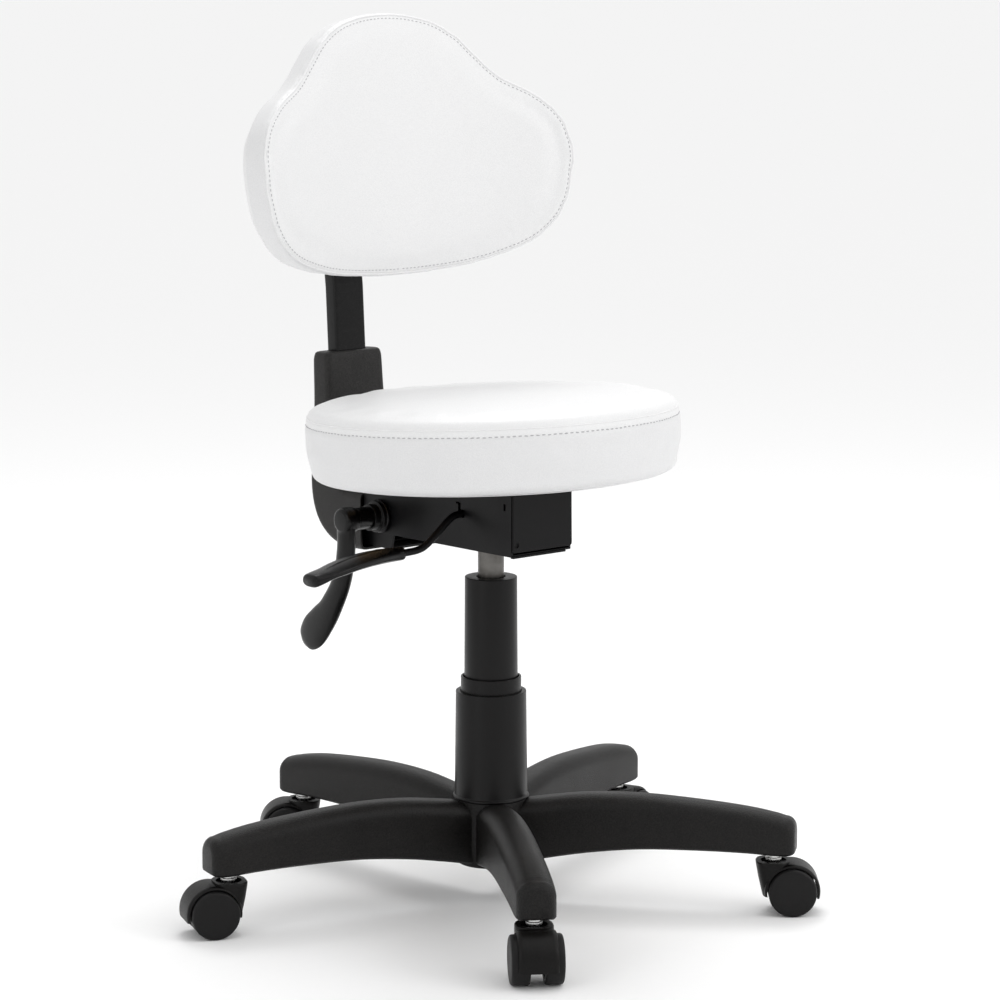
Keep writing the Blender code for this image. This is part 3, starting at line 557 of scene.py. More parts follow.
def place_piece(name, mesh, look, body, nodes, where=None, edge=0.0, sharp=32.0):
    """Adds a piece with its look, gives it its body, hides the CAD nodes it stands for and, when edge is
    given, a small rounding of its edges.
    """
    if where is not None:
        mesh.transform(where)
    mesh.transform(Matrix.Translation(COLUMN))
    mesh.materials.clear()
    mesh.materials.append(LOOKS[look])
    mesh.shade_smooth()
    piece = added(name, mesh)
    if edge:
        bevel = piece.modifiers.new("edges", "BEVEL")
        bevel.width = edge
        bevel.segments = 3
        bevel.limit_method = "ANGLE"
        bevel.angle_limit = radians(sharp)
        bevel.harden_normals = True
    mesh.set_sharp_from_angle(angle=radians(sharp))
    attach(piece, body)
    if nodes:
        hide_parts(*nodes.split())
    return piece


def trim(name, mesh, look, body):
    """Piping or stitches on a cover."""
    place_piece(name, mesh, look, body, "", sharp=80.0)


# ---- star base


def arm_section(distance, half_width, underside, top):
    """The arch of an arm that points along +X: upright sides, rounded shoulders and a soft crown."""
    shoulder = half_width * 0.8
    rise = shoulder * 0.95
    low = 0.0022
    half = [(half_width - low, underside), (half_width, underside + low), (half_width, underside + 0.012)]
    for k in range(ARC_STEPS + 1):
        a = radians(90.0 * k / ARC_STEPS)
        half.append((half_width - shoulder + shoulder * cos(a), top - rise + rise * sin(a)))
    return [(distance, y, z) for y, z in (*half, *mirrored(half))]


def arm_mesh():
    stations = [tuple(s) for s in curve(ARM_STATIONS, 4)]
    sections = [arm_section(*station) for station in stations]
    distance, half_width, underside, top = stations[-1]
    round_r = 0.011
    for k in range(1, 7):  # the rounded end
        a = radians(14.0 * k)
        inset = round_r * (1.0 - cos(a))
        sections.append(
            arm_section(
                distance + round_r * sin(a), half_width - inset * 0.8, underside + inset * 0.3, top - inset
            )
        )
    return lofted(sections)


def pocket_mesh(start, end):
    """A hollow under an arm. Its roof falls with the arm's tip."""
    sections = []
    for x in (start, end):
        roof = POCKET_ROOF if x < 0.2 else POCKET_ROOF - (x - 0.2) * 0.1
        half = ((0.015, 0.03), (0.015, roof - 0.009), (0.007, roof))
        sections.append([(x, y, z) for y, z in (*half, *mirrored(half))])
    return lofted(sections)


def make_star_base():
    hub = [(0.025, 0.046), (HUB_R - 0.003, 0.046), (HUB_R, 0.06), (HUB_R, HUB_TOP), (0.025, HUB_TOP)]
    arms, pockets = [], []
    for angle in round_angles(ARM_COUNT):
        spin = Matrix.Rotation(angle, 4, "Z")
        arms.append(moved(arm_mesh(), spin))
        pockets += [moved(pocket_mesh(start, end), spin) for start, end in ARM_POCKETS]
        pockets.append(moved(rod(0.0058, 0.0423), shift(STEM_CIRCLE_R, 0.0, 0.05), spin))
    bore = moved(rod(0.0253, 0.12, 64), shift(0.0, 0.0, 0.02))
    base = cut(joined(lathe(hub, 0.0018), *arms), bore, *pockets)
    spin = Matrix.Rotation(BASE_TURN, 4, "Z")
    place_piece("star_base_moulding", base, "nylon", "base", "star_base", spin, sharp=38.0)


# ---- casters


def hood_mesh():
    """The caster's hood. Its swivel axis is Z and its wheels trail along +X."""
    axle = (CASTER_TRAIL, AXLE_Z)
    outer_r, inner_r, half = 0.0294, 0.0264, 0.02
    outline = [*arc(axle, outer_r, -14.0, 190.0, 44), *reversed(arc(axle, inner_r, -14.0, 190.0, 44))]
    edges = ((0.0, 0.0024), (0.0006, 0.0014), (0.0018, 0.0006), (0.0038, 0.0001), (0.005, 0.0))
    widths = [(y - half, inset) for y, inset in edges] + [(half - y, inset) for y, inset in reversed(edges)]
    rings = []
    for y, inset in widths:
        ring = []
        for x, z in outline:
            spoke = Vector((x - axle[0], z - axle[1]))
            size = spoke.length - (inset if spoke.length > (outer_r + inner_r) / 2 else 0.0)
            spoke = spoke.normalized() * size
            ring.append((axle[0] + spoke.x, y, axle[1] + spoke.y))
        rings.append(ring)
    neck_rings = []
    for z, front, side in HOOD_NECK:
        ring = []
        for a in round_angles(48):
            c, s = cos(a), sin(a)
            reach = front if c < 0 else 0.0165
            ring.append((copysign(abs(c) ** 0.7, c) * reach, copysign(abs(s) ** 0.7, s) * side, z))
        neck_rings.append(ring)
    room = moved(rod(inner_r, 0.06, 64), turn(90.0, "X"), shift(axle[0], 0.03, axle[1]))
    cup = moved(rod(0.0135, 0.02, 40), shift(0.0, 0.0, 0.0568))
    web_top = [(0.042, 0.034), (0.04, 0.0475), (0.0, 0.055)]
    web = [(-0.01, 0.036), *arc(axle, 0.0125, 200.0, 340.0, 12), *web_top]
    return joined(lofted(rings), cut(lofted(neck_rings), room, cup), prism(web, (-0.0066, 0.0066), "Y"))


def wheel_mesh():
    """One wheel about Z, its inner face low: rounded tread edges and a slightly dished outer face."""
    outline = [
        (0.0043, 0.0075, 0.0), (0.01, 0.0075, 0.001), (0.011, 0.0095, 0.001), (0.019, 0.0095, 0.001),
        (0.0205, 0.0075, 0.001), (WHEEL_R, 0.0075, 0.005), (WHEEL_R, 0.0262, 0.0068), (
            0.0185, 0.0268, 0.002
        ),
        (0.012, 0.0265, 0.003), (0.0, 0.0264, 0.0), (0.0, 0.022, 0.0), (0.0043, 0.022, 0.0),
    ]
    return lathe(outline, 0.001, 5, 72)


def make_casters():
    outline = [
        (0.0, 0.03, 0.0), (0.0055, 0.03), (0.0055, 0.0612), (0.0085, 0.0612), (0.0085, 0.064),
        (0.0062, 0.064), (0.0062, 0.0684), (0.0055, 0.07), (0.0055, 0.089), (0.0, 0.089, 0.0),
    ]
    hood, wheel, stem = hood_mesh(), wheel_mesh(), lathe(outline, 0.0004, 3, 40)
    axle = moved(rod(0.004, 0.042), shift(0.0, 0.0, -0.021))
    for k, trail in enumerate(CASTER_TURNS):
        angle = BASE_TURN + 2.0 * pi * k / ARM_COUNT
        swivel = shift(STEM_CIRCLE_R * cos(angle), STEM_CIRCLE_R * sin(angle), 0.0) @ turn(trail, "Z")
        centre = swivel @ shift(CASTER_TRAIL, 0.0, AXLE_Z)
        lying = centre @ turn(-90.0, "X")
        n = k + 1
        body = f"caster_{n}"
        place_piece(
            f"{body}_hood", hood.copy(), "caster", body, f"caster_hood_{n}", swivel, 0.0006, 40.0
        )
        place_piece(f"{body}_stem", stem.copy(), "bright", body, f"caster_stem_{n}", swivel)
        place_piece(f"{body}_axle", axle.copy(), "bright", body, f"caster_axle_{n}", lying)
        for side, lay in (("left", -90.0), ("right", 90.0)):
            node, wheel_body = f"caster_wheel_{n}_{side}", f"wheel_{n}_{side}"
            where = centre @ turn(lay, "X")
            place_piece(f"{body}_wheel_{side}", wheel.copy(), "tread", wheel_body, node, where)


# ---- column


def make_column():
    lower = [
        (0.0355, 0.117), (0.0402, 0.117), (0.0402, 0.1192), (0.0384, 0.12), (0.0371, 0.2312),
        (0.0321, 0.2312), (0.0321, 0.2285), (0.035, 0.2285),
    ]
    central = [
        (0.0302, 0.135), (0.0318, 0.135), (0.0318, 0.2467), (0.0294, 0.2467), (0.0294, 0.2445),
        (0.0302, 0.2445),
    ]
    upper = [
        (0.027, 0.15), (0.0288, 0.15), (0.0274, 0.3527), (0.0152, 0.3527), (0.0152, 0.35), (0.0254, 0.35),
    ]
    tube = [(0.0118, 0.15), (0.0137, 0.15), (0.0137, 0.3842), (0.0132, 0.41), (0.0118, 0.41)]
    sleeves = (("lower", lower, 0.0009), ("middle", central, 0.0009), ("upper", upper, 0.0011))
    for name, outline, corner in sleeves:
        sleeve = lathe(outline, corner, 3, 96)
        place_piece(f"{name}_sleeve_moulding", sleeve, "plastic", "base", f"{name}_sleeve")
    place_piece("gas_tube", lathe(tube, 0.0003, 2), "tube", "seat_frame", "pressure_tube")


# ---- mechanism and levers


def box_top(y):
    """How high the mechanism box's top edge is, which follows the seat's tilt."""
    return SEAT_HEIGHT - tan(SEAT_TILT) * y - BOX_GAP


def make_mechanism():
    """A folded steel box: side walls and floor in one, a separate front plate, and a lip under that."""
    sides = [
        (-0.081, 0.388, 0.001), (0.15, 0.3842, 0.004), (0.165, 0.3952, 0.004),
        (0.165, box_top(0.165), 0.001), (-0.081, box_top(-0.081), 0.001),
    ]
    room = [(-0.1, 0.3905), (0.112, 0.3873), (0.112, 0.37), (0.2, 0.37), (0.2, 0.49), (-0.1, 0.49)]
    shell = cut(prism(sides, (-0.04, 0.04), "X", 0.001), prism(room, (-0.0375, 0.0375), "X"))
    notch = [
        (-0.005, 0.419), (0.005, 0.419), (0.005, 0.433), (0.0085, 0.433), (0.0085, 0.435),
        (0.001, 0.435), (0.001, 0.4275), (-0.005, 0.4275),
    ]
    window = [(-0.0718, 0.435), (-0.0686, 0.435), (-0.0686, 0.4425), (-0.0718, 0.4425)]
    tube_hole = moved(rod(0.0215, 0.02, 48), shift(0.0, 0.0, 0.378))
    holes = [tube_hole, prism(notch, (-0.045, -0.03), "X", 0.001, 2)]
    for side in (-0.039, 0.039):
        holes.append(prism(window, (side - 0.006, side + 0.006), "X", 0.001, 2))
        holes.append(moved(rod(0.0053, 0.02), ALONG_X, shift(side + 0.01, TILT_PIVOT.y, TILT_PIVOT.z)))
    face = [
        (-0.0392, 0.3925, 0.0015), (0.0398, 0.3925, 0.0035), (0.0392, 0.4545, 0.001),
        (-0.0392, 0.4545, 0.001),
    ]
    dimple = moved(rod(0.0026, 0.004, 24), turn(90.0, "X"), shift(-0.0345, -0.082, 0.4005))
    front = cut(prism(face, (-0.0836, -0.0813), "Y", 0.001, 4), dimple)
    lip = [(-0.0385, -0.0826), (0.033, -0.0826, 0.003), (0.033, -0.078), (-0.0385, -0.078)]
    lip = prism(lip, (0.3866, 0.3888), "Z", 0.0008)
    socket = lathe([(0.0142, 0.385), (0.021, 0.385), (0.021, 0.409), (0.0138, 0.409)], 0.0006)
    for name, mesh, node, slot, edge in (
        ("mechanism_box", cut(shell, *holes), "mechanism_housing", "coated", 0.0005),
        ("mechanism_front", front, "front_plate", "coated", 0.0006),
        ("mechanism_lip", lip, "", "coated", 0.0004),
        ("gas_tube_socket", socket, "taper_socket", "steel", 0.0),
    ):
        place_piece(name, mesh, "coated", "seat_frame", node, edge=edge)


def blade_ring(centre, across, upward, half_width, half_thick, power, sides=36):
    """A softly squared oval about a centre, with two axes."""
    ring = []
    for a in round_angles(sides):
        c, s = cos(a), sin(a)
        reach = (abs(c) ** power + abs(s) ** power) ** (-1.0 / power)
        ring.append(centre + across * (half_width * c * reach) + upward * (half_thick * s * reach))
    return ring


def make_lift_lever():
    bends = [
        (0.01, 0.423), (-0.02, 0.423), (-0.044, 0.4228), (-0.056, 0.4185), (-0.072, 0.406),
        (-0.085, 0.3965), (-0.096, 0.3918), (-0.115, 0.3905), (-0.14, 0.3905),
    ]
    bent = swept([(x, 0.0, z) for x, z in curve(bends, 6)], 0.0038, 24)
    place_piece("lift_rod", bent, "coated", "lift_lever", "lift_lever_rod")
    stations = [  # along, height, half width, half thickness, squareness
        (-0.118, 0.3905, 0.0062, 0.0062, 2.0),
        (-0.119, 0.3905, 0.007, 0.007, 2.0),
        (-0.127, 0.3905, 0.0074, 0.0072, 2.0),
        (-0.14, 0.3905, 0.01, 0.0074, 2.1),
        (-0.16, 0.3897, 0.0142, 0.0072, 2.3),
        (-0.18, 0.3878, 0.0168, 0.0067, 2.4),
        (-0.2, 0.3843, 0.0175, 0.0061, 2.4),
        (-0.216, 0.3806, 0.0162, 0.0055, 2.3),
        (-0.227, 0.3778, 0.0142, 0.0062, 2.8),
        (-0.2345, 0.376, 0.0128, 0.0064, 2.8),
        (-0.2366, 0.3755, 0.0112, 0.005, 2.6),
    ]
    paddle = [blade_ring(Vector((x, 0.0, z)), Y_AXIS, UP, *size) for x, z, *size in curve(stations, 5)]
    crest = (
        (-0.13, 0.3955, 0.002), (-0.15, 0.3963, 0.0034), (-0.175, 0.394, 0.004), (-0.2, 0.389, 0.0034),
        (-0.218, 0.3836, 0.0016),
    )
    ridge = [blade_ring(Vector((x, 0.0, z)), Y_AXIS, UP, width, 0.0022, 2.0, 24) for x, z, width in crest]
    bore = swept([(-0.105, 0.0, 0.3905), (-0.1423, 0.0, 0.3905)], 0.004, 32)
    handle = cut(joined(lofted(paddle), lofted(ridge)), bore)
    place_piece("lift_paddle", handle, "lever", "lift_lever", "lift_lever_paddle", sharp=50.0)


def make_lock_lever():
    at_pivot = Matrix.Translation(TILT_PIVOT)
    collar = [
        (0.0053, 0.0), (0.0178, 0.0, 0.0008), (0.0178, 0.0035, 0.0008), (0.0168, 0.0045),
        (0.0168, 0.0088, 0.001), (0.014, 0.0092, 0.0008), (0.014, 0.0176, 0.001), (0.0053, 0.0176),
    ]
    collar = moved(lathe(collar, 0.0006), ALONG_X, shift(-0.0404, 0.0, 0.0))
    place_piece("lock_collars", collar, "lever", "seat_frame", "lock_collar", at_pivot)
    hub = [
        (0.0, 0.0), (0.0118, 0.0, 0.001), (0.0118, 0.018, 0.0008), (0.013, 0.019, 0.0008),
        (0.0138, 0.023, 0.002), (0.0138, 0.034, 0.003), (0.011, 0.0364, 0.003), (0.0, 0.0368),
    ]
    hub = moved(lathe(hub, 0.0), ALONG_X, shift(-0.0585, 0.0, 0.0))
    stations = [  # along the seat, height, half width, half thickness
        (0.0, 0.0, 0.0112, 0.0052),
        (0.0, -0.008, 0.0122, 0.0068),
        (0.0, -0.033, 0.0122, 0.0076),
        (0.008, -0.066, 0.0122, 0.008),
        (0.028, -0.098, 0.0148, 0.0082),
        (0.044, -0.115, 0.018, 0.008),
        (0.058, -0.128, 0.0192, 0.0072),
        (0.069, -0.1375, 0.015, 0.0056),
        (0.0735, -0.1415, 0.0075, 0.0032),
    ]
    spots = curve(stations, 6)
    centres = [Vector((-0.0872, y, z)) for y, z, _, _ in spots]
    rings = []
    for k, (_, _, width, thickness) in enumerate(spots):
        across = heading(centres, k).cross(X_AXIS)
        rings.append(blade_ring(centres[k], across, X_AXIS, width, thickness, 2.2))
    bore = moved(rod(0.0053, 0.0222), ALONG_X, shift(-0.055, 0.0, 0.0))
    handle = cut(joined(hub, lofted(rings)), bore)
    place_piece("lock_handle", handle, "lever", "lock_handle", "lock_lever", at_pivot, sharp=50.0)
    bolt = [
        (0.0, 0.0), (0.007, 0.0), (0.009, 0.0015), (0.009, 0.006), (0.005, 0.006), (0.005, 0.123),
        (0.0, 0.123),
    ]
    bolt = moved(turned(bolt, 48), ALONG_X, shift(0.0464, 0.0, 0.0))
    place_piece("tilt_bolt_zinc", bolt, "bright", "seat_frame", "tilt_bolt", at_pivot)
    coil = []
    for k in range(5 * 24 + 1):
        a = 2.0 * pi * k / 24
        coil.append((-0.018 + 0.036 * k / 120, 0.01 * cos(a), 0.01 * sin(a)))
    coil = swept(coil, 0.0014, 10)
    place_piece("tilt_coil", coil, "tube", "seat_frame", "tilt_spring", at_pivot)


# ---- soft pieces


def in_seat(mesh):
    return moved(mesh, turn(-degrees(SEAT_TILT), "X"), Matrix.Translation(SEAT_BASE))


def inflate(mesh, voxel, cap, held):
    """Remeshes a closed cushion, blows it up as cloth and settles how far each point may have moved.

    held(point) is 0 where the cover is free and 1 where a seam or the board under it holds it.
    """
    piece = added("soft", mesh)
    remesh = piece.modifiers.new("even", "REMESH")
    remesh.mode = "VOXEL"
    remesh.voxel_size = voxel
    even = evaluated(piece)
    relax(even, 3)
    start = [v.co.copy() for v in even.vertices]
    cloth_piece = added("cloth", even)
    cloth = cloth_piece.modifiers.new("cloth", "CLOTH")
    cloth.settings.use_pressure = True
    cloth.settings.uniform_pressure_force = CLOTH_PRESSURE
    cloth.settings.effector_weights.gravity = 0.0
    cloth.settings.quality = 5
    scene = bpy.context.scene
    for frame_number in range(1, CLOTH_FRAMES + 1):
        scene.frame_set(frame_number)
    depsgraph = bpy.context.evaluated_depsgraph_get()
    blown = cloth_piece.evaluated_get(depsgraph).to_mesh()
    after = [v.co.copy() for v in blown.vertices]
    bpy.data.objects.remove(cloth_piece)
    scene.frame_set(1)
    for k, vertex in enumerate(even.vertices):
        move = after[k] - start[k]
        if move.length > cap:
            move = move * (cap / move.length)
        vertex.co = start[k] + move * (1.0 - held(start[k]))
    relax(even, 2)
    return even


def relax(mesh, rounds):
    bm = bmesh.new()
    bm.from_mesh(mesh)
    for _ in range(rounds):
        bmesh.ops.smooth_vert(
            bm, verts=bm.verts, factor=0.5, use_axis_x=True, use_axis_y=True, use_axis_z=True
        )
    bm.to_mesh(mesh)
    bm.free()


def surface_of(mesh):
    bm = bmesh.new()
    bm.from_mesh(mesh)
    tree = BVHTree.FromBMesh(bm)
    bm.free()
    return tree


def laid_on(tree, points, lift):
    """Points dropped on to a surface, then lifted off it along its normal."""
    laid = []
    for point in points:
        spot, normal, _, _ = tree.find_nearest(Vector(point))
        laid.append(spot + normal * lift)
    return laid


def even_points(points, step):
    """The same closed route with its points an even step apart."""
    route = [Vector(p) for p in points]
    lengths = [(route[(k + 1) % len(route)] - route[k]).length for k in range(len(route))]
    total = sum(lengths)
    count = max(3, round(total / step))
    spots, k, walked = [], 0, 0.0
    for j in range(count):
        target = total * j / count
        while walked + lengths[k] < target:
            walked += lengths[k]
            k += 1
        t = (target - walked) / lengths[k]
        spots.append(route[k].lerp(route[(k + 1) % len(route)], t))
    return spots


def stitch_row(tree, route, pitch, length, radius):
    """A row of short raised stitches, each sunk at both ends into the surface."""
    spots = laid_on(tree, even_points(route, pitch / 2), 0.0)
    stitches = []
    count = len(spots) // 2
    for k in range(count):
        a, b = spots[2 * k], spots[(2 * k + 1) % len(spots)]
        centre, half = (a + b) / 2, (b - a).normalized() * (length / 2)
        ends = laid_on(
            tree,
            [centre - half, centre - half * 0.5, centre, centre + half * 0.5, centre + half],
            radius * 0.25,
        )
        _, normal, _, _ = tree.find_nearest(centre)
        ends[0] -= normal * radius * 1.1
        ends[-1] -= normal * radius * 1.1
        stitches.append(swept(ends, [radius * 0.7, radius, radius, radius, radius * 0.7], 6))
    return merged(*stitches)


def sunk(mesh, tree, reach, depth):
    """Presses a mesh in where it lies near a seam; tree holds the seam's points."""
    pressed = []
    for vertex in mesh.vertices:
        _, _, distance = tree.find(vertex.co)
        if distance < reach:
            pressed.append((vertex, vertex.normal * depth * (1.0 - distance / reach) ** 2))
    for vertex, push in pressed:
        vertex.co -= push


def kd_tree(points):
    tree = KDTree(len(points))
    for k, point in enumerate(points):
        tree.insert(Vector(point), k)
    tree.balance()
    return tree


def subdivided(mesh):
    piece = added("fine", mesh)
    fine = piece.modifiers.new("fine", "SUBSURF")
    fine.levels = fine.render_levels = 1
    return evaluated(piece)


def make_seat_cushion():
    seam_r, seam_h, stitch_r, stitch_h = 0.1932, 0.0682, 0.1946, 0.0606
    profile = curve(
        [
            (0.15, 0.0012),
            (0.179, 0.0),
            (0.1862, 0.003),
            (0.1916, 0.0104),
            (0.195, 0.021),
            (0.1966, 0.037),
            (0.1962, 0.05),
            (stitch_r, stitch_h),
            (seam_r, seam_h),
            (0.1908, 0.0742),
            (0.1862, 0.078),
            (0.178, 0.0798),
            (0.14, 0.0806),
            (0.09, 0.0812),
            (0.04, 0.0815),
        ],
        3,
    )
    outline = [(0.0, 0.0815), *[(p.x, p.y) for p in reversed(profile)], (0.0, 0.0018)]
    start = turned(outline, 128)

    def held(point):
        radius = hypot(point.x, point.y)
        seam = max(0.0, 1.5 - hypot(radius - seam_r, point.z - seam_h) / 0.022)
        low = max(0.0, min(1.0, (0.02 - point.z) / 0.012))
        return min(1.0, max(seam, low, 0.45))

    soft = inflate(start, 0.005, 0.006, held)
    fine = subdivided(soft)
    sunk(fine, kd_tree(circle(seam_r + 0.0004, seam_h, 480)), 0.004, 0.0005)
    sunk(fine, kd_tree(circle(stitch_r, stitch_h, 480)), 0.0046, 0.0013)
    tree = surface_of(fine)
    piping = closed_cord(laid_on(tree, circle(seam_r + 0.0004, seam_h), 0.0), 0.0008, 12)
    stitches = stitch_row(tree, circle(stitch_r, stitch_h), 0.006, 0.0038, 0.00055)
    fold = [(0.148, -0.0018), (0.164, -0.002), (0.17, -0.0004), (0.164, 0.0004), (0.148, -0.0006)]
    fold = lathe(fold, 0.0003, 2, 128)
    for vertex in fold.vertices:
        radius = hypot(vertex.co.x, vertex.co.y)
        if radius < 0.155:
            angle = atan2(vertex.co.y, vertex.co.x)
            wave = noise.noise(Vector((angle * 4.0, 0.0, 2.0)))
            reach = 1.0 + 0.018 * sin(angle * 31.0) + 0.014 * wave
            vertex.co.x *= reach
            vertex.co.y *= reach
    cover = place_piece(
        "seat_cover", in_seat(fine), "vinyl", "seat_frame", "seat_cushion", sharp=80.0
    )
    upward = Vector((0.0, sin(SEAT_TILT), cos(SEAT_TILT)))
    # The seat's side band below the stitches gets the band look, whose darker grey is painted shade.
    paint_band(cover, "band", lambda centre: (centre - (COLUMN + SEAT_BASE)).dot(upward) < stitch_h)
    trim("seat_piping", in_seat(piping), "vinyl", "seat_frame")
    trim("seat_stitches", in_seat(stitches), "thread", "seat_frame")
    place_piece("seat_cover_fold", in_seat(fold), "band", "seat_frame", "", sharp=60.0)
    legs = [
        (0.155, y, z)
        for y, z in ((-0.0045, -0.0014), (-0.0045, -0.0024), (0.0045, -0.0024), (0.0045, -0.0014))
    ]
    staples = [moved(swept(legs, 0.00045, 6), Matrix.Rotation(a, 4, "Z")) for a in round_angles(STAPLES)]
    place_piece("seat_staples", in_seat(merged(*staples)), "bright", "seat_frame", "")
    board = [(0.0, -0.0004, 0.0), (BOARD_R, -0.0004), (BOARD_R, 0.0116), (0.0, 0.0116, 0.0)]
    board = lathe(board, 0.0006, 2, 96)
    place_piece("seat_board_ply", in_seat(board), "wood", "seat_frame", "seat_board")


def paint_band(piece, look, test):
    """Gives faces that pass a test a second material."""
    piece.data.materials.append(LOOKS[look])
    for face in piece.data.polygons:
        if test(face.center):
            face.material_index = 1


# ---- back

BACK_OUTLINE = (  # half outline of the back: out from the middle, up from the pad's centre
    (0.0, -0.138),
    (0.06, -0.136),
    (0.113, -0.129),
    (0.164, -0.1115),
    (0.195, -0.078),
    (0.206, -0.026),
    (0.1985, 0.014),
    (0.172, 0.043),
    (0.136, 0.064),
    (0.112, 0.087),
    (0.086, 0.1125),
    (0.05, 0.13),
    (0.0, 0.1365),
)


def in_back(mesh):
    return moved(mesh, turn(-degrees(BACK_LEAN), "X"), Matrix.Translation(BACK_ORIGIN))


def back_point(out, up, depth):
    reach = BACK_CURVE_R + depth
    return Vector((out, sqrt(reach**2 - out**2) - BACK_CURVE_R, up))


def back_outline(inset=0.0, steps=6):
    half = [Vector(p) for p in BACK_OUTLINE]
    mirror = [Vector((-p.x, p.y)) for p in half]
    right = curve([mirror[1], *half, mirror[-2]], steps)[steps:-steps]
    ring = [*right, *[Vector((-p.x, p.y)) for p in reversed(right[1:-1])]]
    shrunk = []
    for k, point in enumerate(ring):
        along = (ring[(k + 1) % len(ring)] - ring[k - 1]).normalized()
        shrunk.append(point + Vector((-along.y, along.x)) * inset)
    return shrunk


def back_route(inset, depth):
    """The back's outline at a depth, as points in space."""
    return [back_point(*spot, depth) for spot in back_outline(inset)]


def back_slab(layers, columns=24, crown=0.0):
    """A curved slab from (inset, depth) layers, front to rear. crown swells the front's middle."""

    def swell_at(share):
        return 1.0 - (2.0 * share - 1.0) ** 4

    bm = bmesh.new()
    rings = rings_in(bm, [back_route(inset, depth) for inset, depth in layers])
    bridge(bm, rings)
    for ring, (inset, depth), swell in ((rings[0], layers[0], -crown), (rings[-1], layers[-1], 0.0)):
        outline = back_outline(inset)
        half = len(ring) // 2
        rows = []
        for k in range(half + 1):
            row = [ring[k]] * (columns + 1)
            if 0 < k < half:
                inside = []
                for j in range(1, columns):
                    spot = outline[-k].lerp(outline[k], j / columns)
                    rise = swell * swell_at(j / columns) * swell_at(k / half)
                    inside.append(bm.verts.new(back_point(*spot, depth + rise)))
                row = [ring[-k], *inside, ring[k]]
            rows.append(row)
        for low, high in zip(rows, rows[1:]):
            for j in range(columns):
                bm.faces.new(list(dict.fromkeys((low[j], low[j + 1], high[j + 1], high[j]))))
    return mesh_from(bm)


def make_back_cushion():
    seam_inset, seam_depth = -0.0004, 0.0002
    layers = (
        (0.01, -0.0022),
        (0.005, -0.0017),
        (0.0014, -0.001),
        (-0.001, 0.0006),
        (-0.0019, 0.003),
        (-0.0022, 0.009),
        (-0.0022, 0.023),
        (-0.0016, 0.03),
        (0.001, BACK_DEPTH - 0.0006),
        (0.005, BACK_DEPTH),
    )
    start = back_slab(layers, crown=0.0035)
    seam = back_route(seam_inset, seam_depth)
    seam_tree = kd_tree(even_points(seam, 0.001))

    def held(point):
        _, _, distance = seam_tree.find(point)
        depth = hypot(point.x, point.y + BACK_CURVE_R) - BACK_CURVE_R
        rear = max(0.0, min(1.0, (depth - 0.022) / 0.01))
        return min(1.0, max(1.6 - distance / 0.014, rear, 0.45))

    soft = inflate(start, 0.0048, 0.005, held)
    fine = subdivided(soft)
    sunk(fine, seam_tree, 0.0048, 0.001)
    tree = surface_of(fine)
    piping = closed_cord(laid_on(tree, even_points(seam, 0.004), 0.0003), 0.0012, 12)
    inner = back_route(0.0046, -0.0018)
    stitches = stitch_row(tree, inner, 0.005, 0.0031, 0.00045)
    piece = place_piece(
        "back_cover", in_back(fine), "vinyl", "back_frame", "back_cushion", sharp=80.0
    )
    front_edge = 0.0012

    def on_band(centre):
        local = Matrix.Rotation(BACK_LEAN, 3, "X") @ (centre - COLUMN - BACK_ORIGIN)
        return hypot(local.x, local.y + BACK_CURVE_R) - BACK_CURVE_R > front_edge

    # The back's side band gets the band look, whose darker grey is painted shade.
    paint_band(piece, "band", on_band)
    trim("back_piping", in_back(piping), "vinyl", "back_frame")
    trim("back_stitches", in_back(stitches), "thread", "back_frame")


def make_back_rear():
    """The rear of the back: a vinyl-covered panel over the board, with its own seam at the band."""
    layers = ((0.01, 0.0344), (0.01, 0.039), (0.0112, 0.0445), (0.015, 0.048), (0.022, 0.05))
    panel = subdivided(back_slab(layers, columns=16))
    tree = surface_of(panel)
    seam = back_route(0.0095, 0.036)
    piping = closed_cord(even_points(seam, 0.004), 0.0014, 10)
    route = back_route(0.02, 0.05)
    stitches = stitch_row(tree, route, 0.0044, 0.003, 0.0004)
    cover = place_piece(
        "back_rear_cover", in_back(panel), "vinyl", "back_frame", "back_rear_panel back_board",
        sharp=60.0,
    )
    trim("back_rear_piping", in_back(piping), "band", "back_frame")
    trim("back_rear_stitches", in_back(stitches), "thread", "back_frame")


# ---- bar, cover and bracket

BAR_LEAN, BAR_TOP_LEAN = radians(3.2), radians(6.5)
BAR_BEND = (0.2029, 0.413)
BAR_BEND_R, BAR_KINK, BAR_TOP = 0.034, 0.635, 0.852


def across_bar(centre, slope, w, d, corner):
    """A rounded rectangle of half sizes w and d, across a direction that rises at a slope in the side view."""
    side = Vector((0.0, sin(slope), -cos(slope)))
    outline = rounded([(w, -d), (w, d), (-w, d), (-w, -d)], corner, 5)
    return [Vector((x, centre[0], centre[1])) + side * t for x, t in outline]


